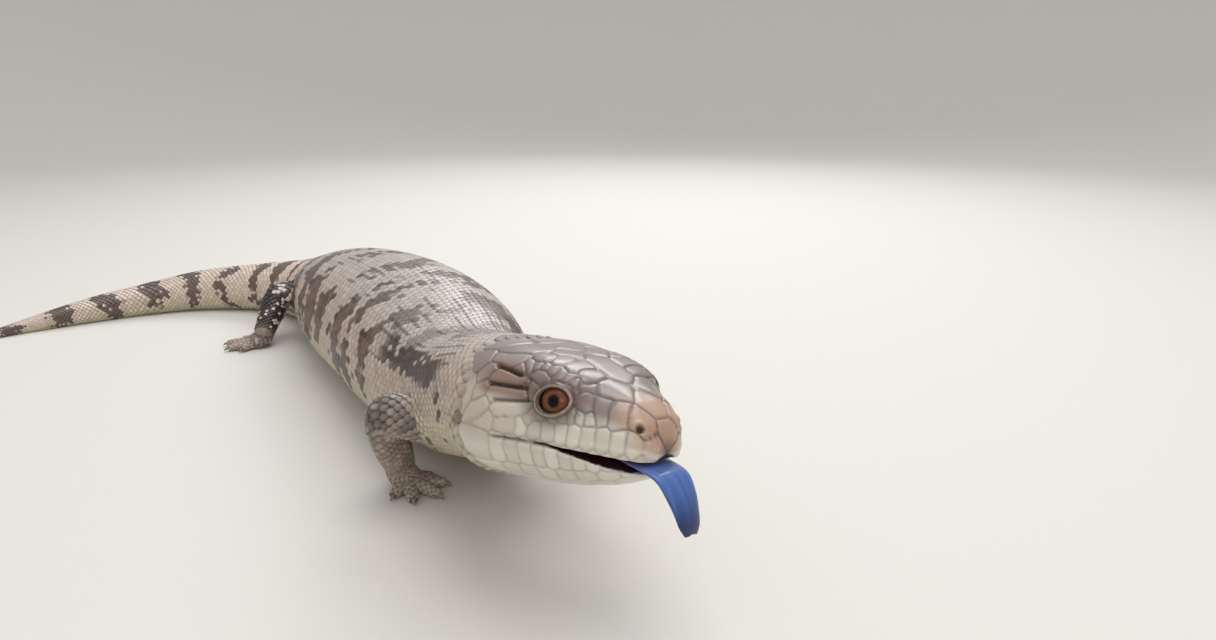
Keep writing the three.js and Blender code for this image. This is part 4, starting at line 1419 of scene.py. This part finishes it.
def eye(name, side):
    axis = unit(eye_axis(side) + 0.10 * head_axes[0])
    across = unit(np.cross([0, 0, 1.0], axis))
    third = np.cross(axis, across)
    steep = np.radians(np.concatenate([np.linspace(0.7, 60, 80), np.linspace(64, 178, 24)]))
    turn = 2 * np.pi * np.arange(EYE_SIDES) / EYE_SIDES
    out = across * np.cos(turn)[:, None] + third * np.sin(turn)[:, None]
    radius = EYE_RADIUS + CORNEA_RISE * bell(np.degrees(steep), CORNEA_REACH, 4)
    rings = (eye_centre(side) + axis * (radius * np.cos(steep))[:, None, None]
             + out[None] * (radius * np.sin(steep))[:, None, None])
    piece = mesh_object(name, *loft(rings))
    degrees = np.concatenate([np.repeat(np.degrees(steep), EYE_SIDES), [0, 180]])
    angle = np.concatenate([np.tile(turn, len(steep)), [0, 0]])
    store(piece, "tint", eye_colour(degrees, angle))
    return piece


eyes = [eye("eye_right_ball", -1), eye("eye_left_ball", 1)]
print("points in an eye:", len(eyes[0].data.vertices))

# %% [markdown]
# The tongue is a broad fleshy ribbon that hangs over the lower lip. A section with rounded edges is swept
# along its curve, with a shallow groove down the middle and a small notch at the tip. It is cobalt blue
# and darker towards the tip, with faint streaks along it.

# %% Tongue
# Along, ahead of the snout, to the animal's left and above the mouth line, then half width and half thickness
TONGUE_STATIONS = np.array([
    [0, -16, -0.5, -1.2, 5.6, 0.6], [1, -8, -0.6, -1.9, 6.0, 0.9], [2, -1.5, -0.8, -2.4, 6.1, 1.0],
    [3, 3.0, -1.0, -3.6, 5.8, 1.1], [4, 6.2, -1.2, -6.9, 5.0, 1.3], [5, 8.2, -1.3, -10.2, 4.1, 1.25],
    [6, 9.3, -1.2, -13, 3.4, 1.1], [7, 9.8, -1.0, -15.2, 2.1, 0.7],
])
TONGUE_ROWS, TONGUE_SIDES, NOTCH_ROWS = 120, 64, 6
NOTCH_DEPTH = 0.5 * MM


def tongue_rings(along):
    """Sections of the tongue at places along its stations."""
    stations = curve_through(np.column_stack([TONGUE_STATIONS[:, 0], TONGUE_STATIONS[:, 1:] * MM]))
    ahead, side, up, half, thick = stations(along).T
    path = head_place(-ahead, side, up)
    forward = unit(np.gradient(path, axis=0))
    left = head_axes[1]
    over = unit(np.cross(forward, left))
    angle = 2 * np.pi * np.arange(TONGUE_SIDES) / TONGUE_SIDES
    cosine, sine = np.cos(angle), np.sin(angle)
    wide = np.sign(cosine) * np.abs(cosine) ** 0.8
    groove = -0.28 * bell(cosine, 0.22) * (sine < 0)
    tall = np.sign(sine) * np.abs(sine) ** 0.8 - groove
    rings = (path[:, None] + left * (wide[None] * half[:, None])[..., None]
             + over[:, None] * (tall[None] * thick[:, None])[..., None])
    notch = (NOTCH_DEPTH * (1 - np.abs(cosine)) ** 2)[None, :, None]
    rings[-NOTCH_ROWS:] -= unit(forward[-1]) * notch * np.linspace(0, 1, NOTCH_ROWS)[:, None, None]
    return rings


along = np.linspace(0, len(TONGUE_STATIONS) - 1, TONGUE_ROWS)
tongue = mesh_object("tongue_skin", *loft(tongue_rings(along)))
place = np.concatenate([np.repeat(along, TONGUE_SIDES), [0, len(TONGUE_STATIONS) - 1]])
colour = mix(HUES["tongue_root"], HUES["tongue"], smooth(1.5, 3.2, place))
colour = mix(colour, HUES["tongue_tip"], smooth(3.4, 6.4, place))
_, aside, _ = in_head(points_of(tongue))
streak = noise(np.stack([place * 0.25, aside / (0.5 * MM), 0 * place], -1), 1.0, 91)
store(tongue, "tint", colour * (1 + 0.22 * streak)[:, None])
print("points in the tongue:", len(place))

# %% [markdown]
# The claws are short curved cones of horn, one at the end of each toe, and darker at the point.

# %% Claws
CLAW_RADII = np.array([0.75, 0.55, 0.15]) * MM
CLAW_RINGS, CLAW_SIDES = 12, 12
claw_surfaces = []
for leg in LEGS.values():
    for _, claw in foot_lines(leg)[0]:
        claw_rings = tube(claw, CLAW_RADII, CLAW_RINGS, CLAW_SIDES).rings
        claw_rings[..., 2] = np.maximum(claw_rings[..., 2], 0.05 * MM)
        claw_surfaces.append(loft(claw_rings))
claws = mesh_object("claws", *joined_surfaces(claw_surfaces))
to_tip = np.concatenate([np.repeat(np.linspace(0, 1, CLAW_RINGS), CLAW_SIDES), [0, 1]])
store(claws, "tint", mix(HUES["claw"], HUES["umber"], 0.5 * np.tile(to_tip, len(claw_surfaces))))
print("claws:", len(claw_surfaces))

# %% [markdown]
# Skink skin is keratin: hard, thin and smooth, with a soft gloss like a fingernail. The shields of the
# head are the glossiest. The eye and the tongue are wet, so a clear coat lies over them. Keratin refracts
# light like glass does, a little more than water.

# %% Materials
KERATIN_IOR, WATER_IOR = 1.54, 1.336
BUMP_DEPTH = 0.06 * MM


def add(tree, kind, settings=None, **links):
    """Adds a node, sets its properties and input values, and links inputs to other nodes' outputs."""
    node = tree.nodes.new(kind)
    for key, value in (settings or {}).items():
        if key in node.inputs:
            node.inputs[key].default_value = value
        else:
            setattr(node, key, value)
    for key, source in links.items():
        tree.links.new(source, node.inputs[key.replace("_", " ")])
    return node


def tinted(name, roughness, coat, coat_roughness, ior, bump, bump_size,
           scatter=0.0, shiny=False, shine_level=0.5):
    """A finish whose colour comes from the points' tint, with a fine bump of a real size in metres."""
    material = bpy.data.materials.new(name)
    material.use_nodes = True
    tree = material.node_tree
    tree.nodes.clear()
    tint = add(tree, "ShaderNodeAttribute", {"attribute_name": "tint"})
    place = add(tree, "ShaderNodeTexCoord")
    grain = add(tree, "ShaderNodeTexNoise", {"Scale": 1 / bump_size, "Detail": 4.0},
                Vector=place.outputs["Object"])
    shade = add(tree, "ShaderNodeMapRange", {"To Min": 0.90, "To Max": 1.10}, Value=grain.outputs["Fac"])
    colour = add(tree, "ShaderNodeVectorMath", {"operation": "SCALE"}, Vector=tint.outputs["Color"],
                 Scale=shade.outputs["Result"])
    relief = add(tree, "ShaderNodeBump", {"Strength": bump, "Distance": BUMP_DEPTH},
                 Height=grain.outputs["Fac"])
    surface = add(tree, "ShaderNodeBsdfPrincipled",
                  {"Roughness": roughness, "IOR": ior, "Coat Weight": coat, "Coat Roughness": coat_roughness,
                   "Coat IOR": ior, "Specular IOR Level": shine_level,
                   "Subsurface Weight": scatter, "Subsurface Scale": 1 * MM},
                  Base_Color=colour.outputs["Vector"], Normal=relief.outputs["Normal"])
    if shiny:
        shine = add(tree, "ShaderNodeAttribute", {"attribute_name": "shine"})
        rough = add(tree, "ShaderNodeMapRange", {"To Min": 0.6, "To Max": roughness},
                    Value=shine.outputs["Fac"])
        tree.links.new(rough.outputs["Result"], surface.inputs["Roughness"])
    add(tree, "ShaderNodeOutputMaterial", Surface=surface.outputs["BSDF"])
    return material


hide = tinted("hide", 0.34, 0.25, 0.18, KERATIN_IOR, 0.25, 0.5 * MM, shiny=True)
scale = tinted("scale", 0.40, 0.15, 0.25, KERATIN_IOR, 0.25, 0.4 * MM)
wet_eye = tinted("eye", 0.3, 0.8, 0.02, WATER_IOR, 0.0, 0.5 * MM, shine_level=0.0)
wet_tongue = tinted("tongue", 0.38, 0.6, 0.12, WATER_IOR, 0.5, 0.35 * MM, scatter=0.15)
claw_horn = tinted("claw", 0.35, 0.2, 0.2, KERATIN_IOR, 0.2, 0.4 * MM)
print("materials:", [material.name for material in (hide, scale, wet_eye, wet_tongue, claw_horn)])

# %% [markdown]
# Every piece rides on the one body, since the model is still. The skin stands for all the solids of flesh,
# the eyes and the tongue for their own.

# %% Hand the pieces to the frame
def shade_smooth(piece):
    piece.data.polygons.foreach_set("use_smooth", np.ones(len(piece.data.polygons), bool))


for piece in (skin, *eyes, tongue, claws):
    shade_smooth(piece)
finishes = [(skin, hide, "hide"), (eyes[0], wet_eye, "eye"), (eyes[1], wet_eye, "eye"),
            (tongue, wet_tongue, "tongue"), (claws, claw_horn, "legs")]
finishes += [(piece, scale, coat_slots[name]) for name, piece in coat_pieces.items()]
for piece, material, slot in finishes:
    piece.data.materials.clear()
    piece.data.materials.append(material)
    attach(piece, "root")
flesh = ["head", "lower_jaw", "neck", "torso_front", "torso_rear", "tail_base", "tail_middle", "tail_tip"]
flesh += ["%s_%s" % (name, part) for name in LEGS for part in ("upper", "lower", "foot")]
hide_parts(*flesh)
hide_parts("eye_right")
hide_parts("eye_left")
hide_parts("tongue")
triangles = {piece.name: sum(len(face.vertices) - 2 for face in piece.data.polygons)
             for piece, _, _ in finishes}
print("pieces: %d, triangles in all: %d" % (len(triangles), sum(triangles.values())))
print("largest piece of the coat:", max(triangles[piece.name] for piece in coat_pieces.values()))

# %% [markdown]
# The model stands on a pale studio floor that turns up into the backdrop far behind, so no edge shows. It
# is a turned surface: one line from the middle out and up, swept round. It is matt paper, so it takes
# soft shadows and no highlights.

# %% Floor
FLOOR_RADIUS, BEND_RADIUS, WALL_TOP = 1.2, 0.8, 1.4
FLOOR_SIDES = 96


def round_sweep():
    profile = [(0.001, 0), (0.4, 0), (0.8, 0), (FLOOR_RADIUS, 0)]
    profile += [(FLOOR_RADIUS + BEND_RADIUS * math.sin(a), BEND_RADIUS - BEND_RADIUS * math.cos(a))
                for a in np.radians(np.arange(6, 91, 6))]
    profile += [(FLOOR_RADIUS + BEND_RADIUS, WALL_TOP)]
    turn = 2 * np.pi * np.arange(FLOOR_SIDES) / FLOOR_SIDES
    rings = np.array([[(r * math.cos(a), r * math.sin(a), z) for a in turn] for r, z in profile])
    faces = []
    for i in range(len(profile) - 1):
        for j in range(FLOOR_SIDES):
            here, there = i * FLOOR_SIDES, (i + 1) * FLOOR_SIDES
            after = (j + 1) % FLOOR_SIDES
            faces.append((here + j, here + after, there + after, there + j))
    faces.append(tuple(range(FLOOR_SIDES)))
    return mesh_object("floor", rings.reshape(-1, 3), faces)


floor = round_sweep()
shade_smooth(floor)
paper = bpy.data.materials.new("paper")
paper.use_nodes = True
paper.node_tree.nodes["Principled BSDF"].inputs["Base Color"].default_value = (*linear("#CFCBC4"), 1)
paper.node_tree.nodes["Principled BSDF"].inputs["Roughness"].default_value = 0.85
floor.data.materials.append(paper)
floor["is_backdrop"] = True
print("floor: %.1f m across" % (2 * (FLOOR_RADIUS + BEND_RADIUS)))

# %% [markdown]
# A broad soft light hangs behind and above, since glossy shields show their shape by what they reflect. A
# large one fills from the camera's side, and a pale sky lightens the shadows.

# %% Lights
def soft_light(name, place, target, width, height, power, colour):
    lamp = bpy.data.lights.new(name, "AREA")
    lamp.shape = "RECTANGLE"
    lamp.size, lamp.size_y = width, height
    lamp.energy = power
    lamp.color = colour
    holder = bpy.data.objects.new(name, lamp)
    holder.location = place
    holder.rotation_euler = (Vector(target) - Vector(place)).to_track_quat("-Z", "Y").to_euler()
    bpy.context.scene.collection.objects.link(holder)


fore_body = (0.05, -0.02, 0.03)
soft_light("back_softbox", (-0.25, 0.75, 0.75), fore_body, 0.7, 0.45, 5.5, (0.95, 0.98, 1.0))
soft_light("top_softbox", (0.15, 0.05, 0.95), fore_body, 0.6, 0.6, 3.6, (1.0, 0.99, 0.97))
soft_light("front_softbox", (0.85, -0.75, 0.6), fore_body, 0.7, 0.5, 2.8, (1.0, 0.97, 0.93))
world = bpy.data.worlds.new("sky")
bpy.context.scene.world = world
world.use_nodes = True
world.node_tree.nodes["Background"].inputs["Color"].default_value = (*linear("#E8ECF0"), 1)
world.node_tree.nodes["Background"].inputs["Strength"].default_value = 1.0
print("lights:", len(bpy.data.lights))

# %% [markdown]
# The camera stands where the photo was taken from: a little above the animal, ahead of it on its right.
# The focal length in pixels comes from the photo's straight edges, and the lens from that and the width.

# %% Camera
FOCAL_PIXELS, IMAGE_WIDTH = 773, 1216
SENSOR = 36  # mm
camera = bpy.data.objects.new("camera", bpy.data.cameras.new("camera"))
camera.data.sensor_width = SENSOR
camera.data.lens = SENSOR * FOCAL_PIXELS / IMAGE_WIDTH
camera.data.clip_start = 0.01
camera.location = (0.260, -0.218, 0.131)
camera.rotation_euler = (math.radians(72.9), 0, math.radians(35))
bpy.context.scene.collection.objects.link(camera)
bpy.context.scene.camera = camera
bpy.context.scene.view_settings.view_transform = "Standard"
print("lens: %.1f mm" % camera.data.lens)

# %% [markdown]
# Both boxes, the solids' and the dressed model's, are measured and printed side by side. The dressed
# model has to keep the solids' size.

# %% Sizes and the end
bpy.context.view_layer.update()
dressed_box = [list(map(float, corner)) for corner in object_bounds()]
for label, (low, high) in (("solids", cad_box), ("dressed", dressed_box)):
    print(label, "measure", ["%.4f" % (b - a) for a, b in zip(low, high)])
